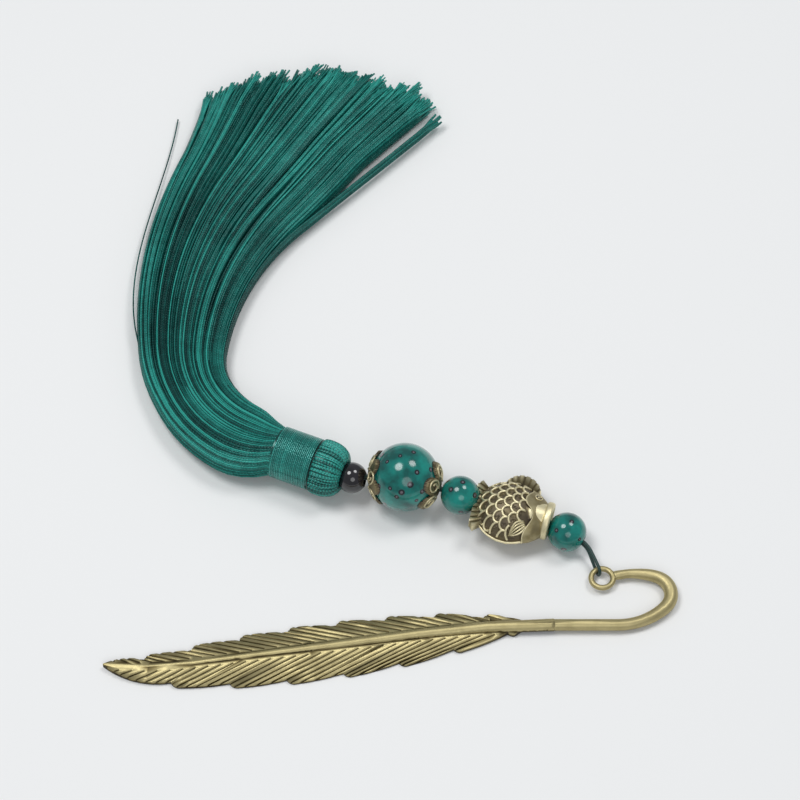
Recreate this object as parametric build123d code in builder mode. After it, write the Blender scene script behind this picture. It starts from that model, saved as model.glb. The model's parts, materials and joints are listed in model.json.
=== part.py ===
from build123d import *
import os
from math import asin, atan2, cos, degrees, pi, radians, sin, sqrt, tan

os.makedirs("parts", exist_ok=True)

# A tasselled feather bookmark lying on a table (z = 0), in millimetres.
# The origin is on the feather's flat back, at the quill, where a page lies against it.
# +X runs along the shank towards the hook, +Y points to the side that the tassel lies on.

# Feather: its shaft is a gentle double curve, seen from above
quill_place = 10.0
shaft_base_radius = 175.0
shaft_base_turn = 8.2
shaft_straight = 46.0
shaft_tip_radius = 65.0
shaft_tip_turn = 15.0
shaft_base_diameter = 2.5
shaft_tip_diameter = 0.9
shaft_tip_height = 0.8

# Feather: vane, with lobes on both edges and grooves between its barbs
vane_ridge_height = 1.35
vane_slope = 0.11
near_width = 7.0
near_start = 5.0
near_tip_lobe = 13.0
near_lobe_pitch = 11.0
far_width = 5.4
far_start = 1.0
far_tip_lobe = 8.0
far_lobe_pitch = 9.5
vane_fullness = 0.62
lobe_step = 0.95
lobe_round = 1.3
barb_pitch = 2.5
barb_angle = 21.0
groove_width = 0.38
groove_depth = 0.38

# Hook: round rod that is thickest in its bend, and the eyelet at its end
hook_height = 1.38
shank_length = 12.3
shank_root = 1.5
shank_diameter = 2.3
lower_arm_radius = 13.5
lower_arm_turn = 45.0
bend_radius = 4.2
bend_turn = 120.0
bend_diameter = 2.74
swell_length = 13.0
rod_section_count = 16
upper_arm_radius = 16.0
upper_arm_turn = 28.9
arm_end_diameter = 1.7
eyelet_hole = 3.2
eyelet_wire = 1.1
eyelet_root = 0.35

# Cord: doubled, one leg above the other
cord_diameter = 0.66
leg_gap = 0.26
cord_bend_radius = 6.0
loop_clearance = 0.06
cord_heading = 113.3
cord_free_run = 7.67
cord_lead = 0.4

# Beads
green_bead_diameter = 7.8
green_bore = 2.2
speckled_diameter = 13.7
speckled_bore = 4.2
dark_diameter = 6.2
dark_bore = 2.7
bore_round = 0.2
bead_gap = 0.1
floor_gap = 0.05

# Where the string of beads points, seen from above, and how steeply it climbs
end_bead_heading = 152.0
end_bead_climb = 10.0
mouth_heading = 158.0
mouth_climb = 7.0
mouth_run = 1.2
string_heading = 162.9
crown_heading = 161.5
crown_climb = 6.0
dark_heading = 176.5
tassel_heading = 157.5

# Fish bead
fish_length = 15.7
fish_height = 14.0
fish_thickness = 9.6
fish_droop = 4.5
body_middle = 8.3
lip_diameter = 7.6
lip_length = 1.5
lip_round = 0.5
mouth_diameter = 5.8
throat_diameter = 2.6
mouth_depth = 1.4
fish_bore = 2.1
neck_diameter = 6.0
gill_edge = 5.0
gill_diameter = 8.0
tail_start = 13.2
tail_height = 10.6
tail_root = 5.0
tail_round = 0.9
tail_thickness = 2.4
tail_nest = 0.9
scale_radius = 1.1
scale_leg = 0.75
scale_rim = 0.34
relief = 0.28
eye_diameter = 1.0
eye_setback = 3.3
eye_rise = 2.0
eye_level = 2.6
gill_back = 2.7
gill_bulge = 0.6
tail_overlap = 1.5
side_fin_length = 3.2
side_fin_height = 1.5
fin_start = 3.4
fin_end = 10.4
fin_height = 1.7
fin_thickness = 1.5
fin_ribs = 7
fin_rib_step = 9.0
tail_ribs = 9
tail_rib_step = 6.0
rib_width = 0.4
rib_depth = 0.3

# Bead caps
cap_seat = 0.08
cap_thickness = 0.5
cap_hole = 2.2
petal_count = 6
petal_diameter = 3.5
petal_circle = 7.2
cap_core_diameter = 6.4
pierced_hole = 0.8
pierced_circle = 6.6

# Tassel
head_sink = 1.3
head_gap = 0.2
head_length = 5.5
head_diameter = 11.3
head_rim = 0.3
head_tuck = 0.15
neck_length = 8.5
core_diameter = 9.9
tie_diameter = 0.4
winding_wire = 0.46
winding_turns = 9
winding_seat = 0.03
thread_sides = 6
thread_tilt = 13.0
knot_diameter = 2.6
knot_depth = 5.2
cord_clearance = 0.1

# Skirt: its bend seen from above, how it fans out and flattens, and its rounded cut end
skirt_lead = 3.0
first_bend_radius = 27.5
first_bend_turn = 67.5
second_bend_radius = 74.0
second_bend_turn = 33.0
skirt_tail = 24.5
skirt_overhang = 18.0
skirt_start_diameter = 10.2
shoulder_distance = 9.0
shoulder_width = 16.2
flare_start = 24.0
skirt_end_width = 43.0
flare_power = 1.3
skirt_end_thickness = 4.8
settle_distance = 40.0
skirt_edge_flat = 0.05
skirt_gap = 0.12
cut_radius = 42.3
cut_back = 24.4
cut_aside = 19.4


def heading(plan, climb=0.0):
    """Unit direction from its angle in plan and its climb, in degrees."""
    level = cos(radians(climb))
    return Vector(level * cos(radians(plan)), level * sin(radians(plan)), sin(radians(climb)))


UP = Vector(0, 0, 1)

# Layout of the string of beads, from the eyelet to the tassel
green_radius = green_bead_diameter / 2
speckled_radius = speckled_diameter / 2
dark_radius = dark_diameter / 2
winding_radius = core_diameter / 2 + winding_seat + winding_wire / 2
neck_radius = winding_radius + winding_wire / 2
cap_reach = speckled_radius + cap_seat + cap_thickness + bead_gap
eyelet_radius = (eyelet_hole + eyelet_wire) / 2

with BuildLine() as hook_line:
    shank = Line((quill_place - shank_root, 0), (quill_place + shank_length, 0))
    lower_arm = JernArc(shank @ 1, shank % 1, lower_arm_radius, lower_arm_turn)
    bend = JernArc(lower_arm @ 1, lower_arm % 1, bend_radius, bend_turn)
    upper_arm = JernArc(bend @ 1, bend % 1, upper_arm_radius, upper_arm_turn)
hook_wire = hook_line.wires()[0]
hook_length = hook_wire.length
bend_middle = shank.length + lower_arm.length + bend.length / 2
eyelet_reach = eyelet_radius + eyelet_wire / 2 - eyelet_root
eyelet_centre = upper_arm @ 1 + (upper_arm % 1) * eyelet_reach + UP * hook_height

end_bead_axis = heading(end_bead_heading, end_bead_climb)
end_bead_height = green_radius + floor_gap
cord_turn = eyelet_centre + heading(cord_heading) * cord_free_run
cord_turn.Z = end_bead_height - (green_radius + cord_lead) * end_bead_axis.Z
end_bead_centre = cord_turn + end_bead_axis * (green_radius + cord_lead)
end_bead_inner = end_bead_centre + end_bead_axis * green_radius
fish_throat = end_bead_inner + heading(mouth_heading, mouth_climb) * mouth_run

throat_to_crown = fish_length - mouth_depth + 2 * green_radius - tail_nest + bead_gap
crown_rise = speckled_radius + floor_gap - cap_reach * sin(radians(crown_climb)) - fish_throat.Z
string_axis = heading(string_heading, degrees(asin(crown_rise / throat_to_crown)))
fish_mouth = fish_throat - string_axis * mouth_depth
tail_bead_centre = fish_mouth + string_axis * (fish_length + green_radius - tail_nest)
crown_foot = fish_throat + string_axis * throat_to_crown
crown_axis = heading(crown_heading, crown_climb)
speckled_centre = crown_foot + crown_axis * cap_reach

dark_reach = cap_reach + dark_radius
dark_fall = speckled_centre.Z - max(neck_radius, head_diameter / 2) - floor_gap
dark_axis = heading(dark_heading, -degrees(asin(dark_fall / dark_reach)))
dark_centre = speckled_centre + dark_axis * dark_reach
speckled_axis = (crown_axis + dark_axis).normalized()
tassel_axis = heading(tassel_heading)


# Cast feather and hook
with BuildLine() as shaft_line:
    shaft_base = JernArc((quill_place, 0), (-1, 0), shaft_base_radius, shaft_base_turn)
    shaft_middle = Line(shaft_base @ 1, shaft_base @ 1 + (shaft_base % 1) * shaft_straight)
    JernArc(shaft_middle @ 1, shaft_middle % 1, shaft_tip_radius, -shaft_tip_turn)
shaft_wire = shaft_line.wires()[0]
shaft_length = shaft_wire.length


def vane_point(along, aside):
    """Point of the vane, from its distance along the shaft and to the left of it."""
    on_shaft = shaft_wire.position_at(along, PositionMode.LENGTH)
    left = shaft_wire.tangent_at(along, PositionMode.LENGTH).rotate(Axis.Z, 90)
    return on_shaft + left * aside


def half_width(along, start, widest):
    """Half width of the vane's smooth envelope."""
    fraction = min(max((along - start) / (shaft_length - start), 0.0), 1.0)
    return widest * sin(pi * fraction) ** vane_fullness


def lobe_edges(start, widest, tip_lobe, pitch, side):
    """Outline of one edge of the vane: overlapping lobes from the quill to the tip."""
    last_notch = shaft_length - tip_lobe
    count = int((last_notch - start) / pitch)
    notches = [last_notch - pitch * k for k in range(count, -1, -1)]
    here = vane_point(start, 0)
    begin = start
    for notch in notches:
        shoulder = notch - lobe_round
        middle = (begin + shoulder) / 2
        crest = half_width(middle, start, widest)
        outer = half_width(shoulder, start, widest)
        inner = half_width(notch, start, widest) - lobe_step
        corner = vane_point(shoulder, side * outer)
        foot = vane_point(notch, side * inner)
        ThreePointArc(here, vane_point(middle, side * (crest - lobe_step / 3)), corner)
        ThreePointArc(corner, vane_point(notch - lobe_round / 4, side * (outer + inner) / 2), foot)
        here = foot
        begin = notch
    middle = (begin + shaft_length) / 2
    tip = vane_point(shaft_length, 0)
    ThreePointArc(here, vane_point(middle, side * half_width(middle, start, widest)), tip)


def across_shaft(along):
    """Plane square to the shaft, its X axis to the left and its Y axis up."""
    tangent = shaft_wire.tangent_at(along, PositionMode.LENGTH)
    on_shaft = shaft_wire.position_at(along, PositionMode.LENGTH)
    return Plane(origin=on_shaft, x_dir=UP.cross(tangent), z_dir=tangent)


def shaft_girth(along):
    """Diameter of the shaft, which thins out to the tip."""
    return shaft_base_diameter + (shaft_tip_diameter - shaft_base_diameter) * along / shaft_length


def rod_girth(along):
    """Diameter of the hook's rod, which swells in the bend and thins out to the eyelet."""
    if along < bend_middle:
        share = max(1 - (bend_middle - along) / swell_length, 0.0)
        return shank_diameter + (bend_diameter - shank_diameter) * sin(share * pi / 2) ** 2
    share = (along - bend_middle) / (hook_length - bend_middle)
    return bend_diameter + (arm_end_diameter - bend_diameter) * sin(share * pi / 2) ** 2


def groove_planes(start, widest, side):
    """Planes that the grooves between the barbs of one side start from, square to each groove."""
    planes = []
    for barb in range(1, int((shaft_length - start) / barb_pitch)):
        along = start + barb_pitch * barb
        outward = shaft_wire.tangent_at(along, PositionMode.LENGTH).rotate(Axis.Z, side * barb_angle)
        way = outward - UP * (vane_slope * sin(radians(barb_angle)))
        clear = (shaft_girth(along) / 2 + groove_width) / sin(radians(barb_angle))
        root = vane_point(along, 0) + UP * vane_ridge_height + way * clear
        planes.append(Plane(origin=root, x_dir=UP.cross(way), z_dir=way))
    return planes


with BuildPart() as feather_hook:
    with BuildSketch():
        with BuildLine():
            lobe_edges(near_start, near_width, near_tip_lobe, near_lobe_pitch, 1)
            lobe_edges(far_start, far_width, far_tip_lobe, far_lobe_pitch, -1)
            Line(vane_point(near_start, 0), vane_point(far_start, 0))
        make_face()
    extrude(amount=2 * vane_ridge_height)
    roof_reach = max(near_width, far_width) + lobe_step
    roof_edge = vane_ridge_height - vane_slope * roof_reach
    roof_sections = []
    for station in (0.0, 0.14, 0.28, 0.54, 0.8, 0.9, 1.0):
        with BuildSketch(across_shaft(station * shaft_length), mode=Mode.PRIVATE) as roof_section:
            with BuildLine():
                Polyline(
                    (-roof_reach, 0),
                    (roof_reach, 0),
                    (roof_reach, roof_edge),
                    (0, vane_ridge_height),
                    (-roof_reach, roof_edge),
                    close=True,
                )
            make_face()
        roof_sections.append(roof_section.sketch)
    loft(roof_sections, ruled=True, mode=Mode.INTERSECT)
    for groove_plane in groove_planes(near_start, near_width, 1) + groove_planes(far_start, far_width, -1):
        with BuildSketch(groove_plane):
            with BuildLine():
                Polyline(
                    (0, -groove_depth),
                    (groove_width, groove_depth),
                    (-groove_width, groove_depth),
                    close=True,
                )
            make_face()
    extrude(amount=roof_reach / sin(radians(barb_angle)), mode=Mode.SUBTRACT)

    shaft_sections = []
    for station in (0.98, 0.9, 0.8, 0.55, 0.3, 0.15, 0.0):
        rise = hook_height + (shaft_tip_height - hook_height) * station
        on_shaft = vane_point(station * shaft_length, 0) + UP * rise
        to_quill = -shaft_wire.tangent_at(station * shaft_length, PositionMode.LENGTH)
        shaft_plane = Plane(origin=on_shaft, x_dir=UP, z_dir=to_quill)
        with BuildSketch(shaft_plane, mode=Mode.PRIVATE) as shaft_section:
            Circle(shaft_girth(station * shaft_length) / 2)
        shaft_sections.append(shaft_section.sketch)
    loft(shaft_sections, ruled=True)

    rod_sections = []
    for section in range(rod_section_count + 1):
        along = hook_length * section / rod_section_count
        on_rod = hook_wire.position_at(along, PositionMode.LENGTH) + UP * hook_height
        forward = hook_wire.tangent_at(along, PositionMode.LENGTH)
        with BuildSketch(Plane(origin=on_rod, x_dir=UP, z_dir=forward), mode=Mode.PRIVATE) as rod_section:
            Circle(rod_girth(along) / 2)
        rod_sections.append(rod_section.sketch)
    loft(rod_sections)

    with BuildSketch(Plane(origin=eyelet_centre, x_dir=(1, 0, 0), z_dir=(0, -1, 0))):
        with Locations((eyelet_radius, 0)):
            Circle(eyelet_wire / 2)
    revolve(axis=Axis(eyelet_centre, UP))

feather_hook.part.label = "feather_hook"
export_step(feather_hook.part, "parts/feather_hook.step")


# Doubled cord: from the dark bead through every bead, round the eyelet's wire and back
leg_offset = (cord_diameter + leg_gap) / 2
loop_radius = (eyelet_wire + cord_diameter) / 2 + loop_clearance


def loop_corner(mouth, side):
    """Corner of the cord where one leg, tangent to the eyelet's wire, meets the upright of the loop."""
    outward = heading(cord_heading)
    wire_centre = eyelet_centre + outward * eyelet_radius
    distance = (mouth - wire_centre).dot(outward)
    rise = mouth.Z - wire_centre.Z
    span = sqrt(distance**2 + rise**2)
    slope = atan2(rise, distance) - side * asin(loop_radius / span)
    corner = wire_centre - outward * loop_radius
    corner.Z = mouth.Z - (distance + loop_radius) * tan(slope)
    return corner


cord_end = dark_centre + tassel_axis * dark_radius
string_points = [
    cord_end,
    dark_centre,
    speckled_centre,
    crown_foot,
    fish_throat,
    end_bead_inner,
    cord_turn,
]
upper_leg = [point + UP * leg_offset for point in string_points]
lower_leg = [point - UP * leg_offset for point in string_points]
cord_points = upper_leg + [loop_corner(upper_leg[-1], 1), loop_corner(lower_leg[-1], -1)] + lower_leg[::-1]
leg_radii = [cord_bend_radius] * (len(string_points) - 1)
cord_radii = leg_radii + [loop_radius, loop_radius] + leg_radii

with BuildPart() as hanging_cord:
    with BuildLine() as cord_path:
        FilletPolyline(*cord_points, radius=cord_radii)
    cord_wire = cord_path.wires()[0]
    with BuildSketch(Plane(origin=cord_wire @ 0, z_dir=cord_wire % 0)):
        Circle(cord_diameter / 2)
    sweep(path=cord_wire)
cord_volume = pi * cord_diameter**2 / 4 * cord_wire.length
print("cord radii", [round(radius, 2) for radius in cord_radii])
print("cord length", round(cord_wire.length, 2), "volume", round(hanging_cord.part.volume / cord_volume, 4))

hanging_cord.part.label = "hanging_cord"
export_step(hanging_cord.part, "parts/hanging_cord.step")


# Round beads, each square to its own stretch of cord
def round_bead(centre, axis, diameter, bore):
    """Round bead with a bore along the cord and softened bore edges."""
    with BuildPart(Plane(origin=centre, z_dir=axis)) as bead:
        Sphere(diameter / 2)
        Cylinder(bore / 2, 2 * diameter, mode=Mode.SUBTRACT)
        fillet(bead.edges().filter_by(GeomType.CIRCLE), bore_round)
    return bead.part


for bead_name, bead_centre, bead_axis, bead_diameter, bead_bore in (
    ("hook_end_bead", end_bead_centre, end_bead_axis, green_bead_diameter, green_bore),
    ("tail_end_bead", tail_bead_centre, string_axis, green_bead_diameter, green_bore),
    ("speckled_bead", speckled_centre, speckled_axis, speckled_diameter, speckled_bore),
    ("dark_bead", dark_centre, dark_axis + tassel_axis, dark_diameter, dark_bore),
):
    bead_part = round_bead(bead_centre, bead_axis, bead_diameter, bead_bore)
    bead_part.label = bead_name
    export_step(bead_part, f"parts/{bead_name}.step")


# Petal caps on both ends of the speckled bead
def petal_cap(outward):
    """Domed cap of round petals, pierced once in each petal, seated on the speckled bead."""
    inner = speckled_radius + cap_seat
    seat = Plane(origin=speckled_centre, z_dir=outward)
    with BuildPart(seat) as cap:
        Sphere(inner + cap_thickness)
        with BuildSketch(seat):
            Circle(cap_core_diameter / 2)
            with PolarLocations(petal_circle / 2, petal_count):
                Circle(petal_diameter / 2)
            with PolarLocations(pierced_circle / 2, petal_count):
                Circle(pierced_hole / 2, mode=Mode.SUBTRACT)
            Circle(cap_hole / 2, mode=Mode.SUBTRACT)
        extrude(amount=2 * inner, mode=Mode.INTERSECT)
        Sphere(inner, mode=Mode.SUBTRACT)
    return cap.part


for cap_name, cap_axis in (("fish_side_cap", -crown_axis), ("tassel_side_cap", dark_axis)):
    cap_part = petal_cap(cap_axis)
    cap_part.label = cap_name
    export_step(cap_part, f"parts/{cap_name}.step")


# Fish bead: local X runs from the mouth to the tail, local Y to the back
fish_axis = string_axis.rotate(Axis.Z, fish_droop)
fish_plane = Plane(origin=fish_mouth, x_dir=fish_axis, z_dir=fish_axis * fish_axis.Z - UP)


def fish_section(along):
    """Plane square to the fish's body, its X axis towards the back."""
    middle = fish_plane.from_local_coords((along, 0, 0))
    return Plane(origin=middle, x_dir=fish_plane.y_dir, z_dir=fish_axis)


fish_lip = Plane(origin=fish_mouth, x_dir=fish_plane.z_dir, z_dir=string_axis)


def fish_body(depth):
    """Lens-shaped body of two round flanks, down to a depth under its surface."""
    half_thickness = fish_thickness / 2
    flank_radius = ((fish_height / 2) ** 2 + half_thickness**2) / fish_thickness
    inset = flank_radius - half_thickness
    with BuildPart() as body:
        with Locations(fish_plane.from_local_coords((body_middle, 0, inset))):
            Sphere(flank_radius - depth)
        with Locations(fish_plane.from_local_coords((body_middle, 0, -inset))):
            Sphere(flank_radius - depth, mode=Mode.INTERSECT)
    return body.part


def rib_grooves(thickness, pivot, angles):
    """Grooves between ribs that fan out from a point, on both faces of a fin."""
    for side in (1, -1):
        with BuildSketch(fish_plane.offset(side * thickness / 2)) as grooves:
            with Locations(pivot):
                for angle in angles:
                    Rectangle(2 * fish_length, rib_width, rotation=angle, align=(Align.MIN, Align.CENTER))
        extrude(grooves.sketch, amount=-side * rib_depth, mode=Mode.SUBTRACT)


scale_pitch = scale_radius + scale_leg
scale_rows = int(fish_height / scale_radius / 4)
pocket_radius = scale_radius - scale_rim / 2
plate_end = gill_edge + gill_bulge + scale_rim
side_fin_x = plate_end + scale_rim + side_fin_length / 2
side_fin_y = -neck_diameter / 3
scale_places = []
for column in range(int((tail_start - gill_edge) / scale_pitch)):
    stagger = column % 2
    for row in range(-scale_rows - stagger, scale_rows + 1):
        scale_x = plate_end + scale_rim / 2 + scale_leg + column * scale_pitch
        scale_y = scale_radius * (2 * row + stagger)
        fin_x = (scale_x - side_fin_x) / (side_fin_length / 2 + scale_rim + scale_radius)
        fin_y = (scale_y - side_fin_y) / (side_fin_height / 2 + scale_rim + scale_radius)
        if fin_x**2 + fin_y**2 > 1:
            scale_places.append((scale_x, scale_y))

with BuildPart() as fish_relief:
    add(fish_body(0.0))
    with BuildSketch(fish_plane):
        with Locations(*scale_places):
            Circle(pocket_radius)
            Rectangle(scale_leg, 2 * scale_leg, align=(Align.MAX, Align.CENTER))
        with Locations((side_fin_x, side_fin_y)):
            Ellipse(side_fin_length / 2 + scale_rim, side_fin_height / 2 + scale_rim)
            Ellipse(side_fin_length / 2, side_fin_height / 2, mode=Mode.SUBTRACT)
        gill = ThreePointArc(
            (gill_back, fish_height / 2),
            (gill_edge + gill_bulge, 0),
            (gill_back, -fish_height / 2),
            mode=Mode.PRIVATE,
        )
        SlotArc(gill, scale_rim)
        with Locations((body_middle, 0)):
            Circle(fish_height / 2 - 2 * scale_rim, mode=Mode.INTERSECT)
    extrude(amount=fish_thickness, both=True, mode=Mode.SUBTRACT)

with BuildPart() as fish_bead:
    with BuildSketch(fish_lip):
        Circle(lip_diameter / 2)
    extrude(amount=lip_length)
    fillet(fish_bead.edges().filter_by(GeomType.CIRCLE), lip_round)
    with BuildSketch(fish_plane):
        with BuildLine():
            fin_crest = ThreePointArc(
                (fin_start, fish_height / 4),
                ((fin_start + fin_end) / 2, fish_height / 2 + fin_height),
                (fin_end, fish_height / 4),
            )
            Line(fin_crest @ 1, fin_crest @ 0)
        make_face()
    extrude(amount=fin_thickness / 2, both=True)
    fin_slant = [90 + fin_rib_step * (k - (fin_ribs - 1) / 2) for k in range(fin_ribs)]
    rib_grooves(fin_thickness, ((fin_start + fin_end) / 2, 0), fin_slant)
    with BuildSketch(fish_plane):
        with BuildLine():
            Polyline(
                (tail_start - tail_overlap, tail_root / 2),
                (fish_length - tail_round, tail_height / 2),
                (fish_length, tail_height / 2 - tail_round),
                (fish_length, tail_round - tail_height / 2),
                (fish_length - tail_round, -tail_height / 2),
                (tail_start - tail_overlap, -tail_root / 2),
                close=True,
            )
        make_face()
    extrude(amount=tail_thickness / 2, both=True)
    tail_rays = [tail_rib_step * (k - (tail_ribs - 1) / 2) for k in range(tail_ribs)]
    rib_grooves(tail_thickness, (gill_edge, 0), tail_rays)

    with BuildSketch(fish_lip.offset(lip_length / 2)):
        Circle(neck_diameter / 2)
    with BuildSketch(fish_section(gill_edge)):
        Circle(gill_diameter / 2)
    loft()
    add(fish_body(relief))
    add(fish_relief.part)
    for eye_side in (1, -1):
        with BuildSketch(fish_plane.offset(eye_side * eye_level)):
            with Locations((eye_setback, eye_rise)):
                Circle(eye_diameter / 2 + scale_rim)
                Circle(eye_diameter / 2, mode=Mode.SUBTRACT)
        extrude(amount=eye_side * fish_thickness, mode=Mode.SUBTRACT)
    with BuildSketch(fish_lip):
        Circle(mouth_diameter / 2)
    with BuildSketch(fish_lip.offset(mouth_depth)):
        Circle(throat_diameter / 2)
    loft(mode=Mode.SUBTRACT)
    with BuildSketch(Plane(origin=fish_mouth, z_dir=string_axis)):
        Circle(fish_bore / 2)
    extrude(amount=fish_length, mode=Mode.SUBTRACT)
    with Locations(tail_bead_centre):
        Sphere(green_radius + bead_gap, mode=Mode.SUBTRACT)

fish_bead.part.label = "fish_bead"
export_step(fish_bead.part, "parts/fish_bead.step")


# Tassel: everything is placed along its axis from the dark bead's centre
tassel_plane = Plane(origin=dark_centre, x_dir=tassel_axis, z_dir=UP)
head_start = dark_radius - head_sink
head_end = head_start + head_length
neck_end = head_end + tie_diameter + neck_length
dimple_radius = dark_radius + head_gap
rim_radius = sqrt(dimple_radius**2 - head_start**2)


def tassel_section(along):
    """Plane square to the tassel's axis, its X axis up."""
    return Plane(origin=dark_centre + tassel_axis * along, x_dir=UP, z_dir=tassel_axis)


with BuildPart() as cord_knot:
    with BuildSketch(tassel_section(dark_radius)):
        with Locations((leg_offset, 0), (-leg_offset, 0)):
            Circle(cord_diameter / 2)
    extrude(amount=knot_depth - dark_radius)
    with Locations(dark_centre + tassel_axis * knot_depth):
        Sphere(knot_diameter / 2)

cord_knot.part.label = "cord_knot"
export_step(cord_knot.part, "parts/cord_knot.step")

with BuildPart() as tassel_head:
    with BuildSketch(tassel_plane):
        with BuildLine():
            dome = ThreePointArc(
                (head_start, rim_radius + head_rim),
                (head_start + head_length * 0.35, head_diameter * 0.45),
                (head_start + head_length * 0.7, head_diameter / 2),
            )
            flank = TangentArc(dome @ 1, (head_end, head_diameter / 2 - head_tuck), tangent=dome % 1)
            Polyline(
                flank @ 1,
                (head_end, core_diameter / 2),
                (neck_end, core_diameter / 2),
                (neck_end, 0),
                (head_start, 0),
                dome @ 0,
            )
        make_face()
    revolve(axis=Axis(dark_centre, tassel_axis))
    with Locations(dark_centre):
        Sphere(dimple_radius, mode=Mode.SUBTRACT)
    with Locations(tassel_section(knot_depth)):
        Sphere(knot_diameter / 2, mode=Mode.SUBTRACT)
    with BuildSketch(tassel_section(0)):
        Circle(leg_offset + cord_diameter / 2 + cord_clearance)
    extrude(amount=knot_depth, mode=Mode.SUBTRACT)

tassel_head.part.label = "tassel_head"
export_step(tassel_head.part, "parts/tassel_head.step")

with BuildPart() as tie_thread:
    with BuildSketch(tassel_plane):
        with Locations((head_end + tie_diameter / 2, core_diameter / 2 + winding_seat + tie_diameter / 2)):
            RegularPolygon(tie_diameter / 2 - winding_seat, thread_sides)
    revolve(axis=Axis(dark_centre, tassel_axis))

tie_thread.part.label = "tie_thread"
export_step(tie_thread.part, "parts/tie_thread.step")


# Neck winding: one thread in a close helix, each half turn a pair of arcs
winding_start = head_end + tie_diameter + winding_wire / 2 + winding_seat
winding_end = neck_end - winding_wire / 2 - winding_seat
winding_pitch = (winding_end - winding_start) / winding_turns


def winding_point(turn):
    """Point of the winding's centre line, from the number of turns."""
    angle = radians(360 * turn)
    ring = tassel_section(winding_start + winding_pitch * turn)
    return ring.from_local_coords((winding_radius * cos(angle), winding_radius * sin(angle), 0))


def winding_way(turn):
    """Direction of the winding there."""
    angle = radians(360 * turn)
    ring = tassel_section(0)
    around = ring.y_dir * cos(angle) - ring.x_dir * sin(angle)
    return (around * 2 * pi * winding_radius + ring.z_dir * winding_pitch).normalized()


with BuildPart() as neck_winding:
    with BuildLine() as winding_line:
        Line(winding_point(0) - winding_way(0) * winding_wire, winding_point(0))
        for half_turn in range(2 * winding_turns):
            begin = half_turn / 2
            middle = winding_point(begin + 0.25)
            TangentArc(winding_point(begin), middle, tangent=winding_way(begin))
            TangentArc(winding_point(begin + 0.5), middle, tangent=-winding_way(begin + 0.5))
        last = winding_point(winding_turns)
        Line(last, last + winding_way(winding_turns) * winding_wire)
    winding_wire_path = winding_line.wires()[0]
    with BuildSketch(Plane(origin=winding_wire_path @ 0, z_dir=winding_wire_path % 0)):
        RegularPolygon(winding_wire / 2, thread_sides, rotation=thread_tilt)
    sweep(path=winding_wire_path)
winding_marks = [winding_wire_path @ (k / 400) for k in range(401)]
least_gap = min(
    (one - other).length - winding_wire
    for place, one in enumerate(winding_marks)
    for other in winding_marks[place + 20 :]
)
print("winding least gap to itself", round(least_gap, 3))

neck_winding.part.label = "neck_winding"
export_step(neck_winding.part, "parts/neck_winding.step")


# Skirt: round at the neck, then wide and flat along its bend
with BuildLine() as skirt_line:
    lead = Line((0, 0), heading(tassel_heading) * skirt_lead)
    first_bend = JernArc(lead @ 1, lead % 1, first_bend_radius, -first_bend_turn)
    second_bend = JernArc(first_bend @ 1, first_bend % 1, second_bend_radius, -second_bend_turn)
    Line(second_bend @ 1, second_bend @ 1 + (second_bend % 1) * (skirt_tail + skirt_overhang))
skirt_wire = skirt_line.wires()[0]
skirt_length = skirt_wire.length
skirt_start = dark_centre + tassel_axis * neck_end
skirt_floor = skirt_start - UP * (skirt_start.Z - skirt_gap)


def skirt_width(along):
    """Width of the skirt, from its distance along the bend."""
    swelling = sin(min(along / shoulder_distance, 1.0) * pi / 2)
    flare = max((along - flare_start) / (skirt_length - skirt_overhang - flare_start), 0.0)
    width = skirt_start_diameter + (shoulder_width - skirt_start_diameter) * swelling
    return width + (skirt_end_width - shoulder_width) * flare**flare_power


def skirt_thickness(along):
    """Thickness of the skirt, which settles flat on the table."""
    share = max(1 - along / settle_distance, 0.0)
    return skirt_end_thickness + (skirt_start_diameter - skirt_end_thickness) * share**2


with BuildPart() as tassel_skirt:
    skirt_sections = []
    for share in (0.0, 0.04, 0.09, 0.15, 0.22, 0.3, 0.4, 0.5, 0.65, 0.82, 1.0):
        along = share * skirt_length
        width = skirt_width(along)
        thickness = skirt_thickness(along)
        lift = max(thickness / 2, (skirt_start.Z - skirt_gap) * max(1 - along / shoulder_distance, 0.0))
        middle = skirt_floor + skirt_wire.position_at(along, PositionMode.LENGTH) + UP * lift
        way = skirt_wire.tangent_at(along, PositionMode.LENGTH)
        across_skirt = Plane(origin=middle, x_dir=UP.cross(way), z_dir=way)
        with BuildSketch(across_skirt, mode=Mode.PRIVATE) as section:
            RectangleRounded(width, thickness, thickness / 2 - skirt_edge_flat)
        skirt_sections.append(section.sketch)
    loft(skirt_sections)
    cut_way = skirt_wire.tangent_at(skirt_length, PositionMode.LENGTH)
    cut_place = skirt_floor + skirt_wire.position_at(skirt_length, PositionMode.LENGTH)
    cut_line = Plane(origin=cut_place, x_dir=cut_way)
    cut_middle = (-skirt_overhang - cut_back, -cut_aside)
    with BuildSketch(cut_line):
        with Locations(cut_middle):
            Rectangle(3 * cut_radius, 4 * cut_radius, align=(Align.MIN, Align.CENTER))
            Circle(cut_radius, mode=Mode.SUBTRACT)
    extrude(amount=skirt_start_diameter, both=True, mode=Mode.SUBTRACT)

tassel_skirt.part.label = "tassel_skirt"
export_step(tassel_skirt.part, "parts/tassel_skirt.step")

for place_name, place in (
    ("eyelet", eyelet_centre),
    ("end bead", end_bead_centre),
    ("fish mouth", fish_mouth),
    ("tail bead", tail_bead_centre),
    ("speckled bead", speckled_centre),
    ("dark bead", dark_centre),
    ("neck end", skirt_start),
):
    print(place_name, [round(value, 3) for value in tuple(place)])
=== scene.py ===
"""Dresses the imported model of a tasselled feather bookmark: metal, glaze, cord and silk threads."""

from __future__ import annotations

import json
import logging
import math
import random
from dataclasses import dataclass
from enum import Enum
from itertools import repeat
from typing import Callable, Iterable, Sequence

import bpy
import numpy as np
from mathutils import Matrix, Vector

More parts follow.
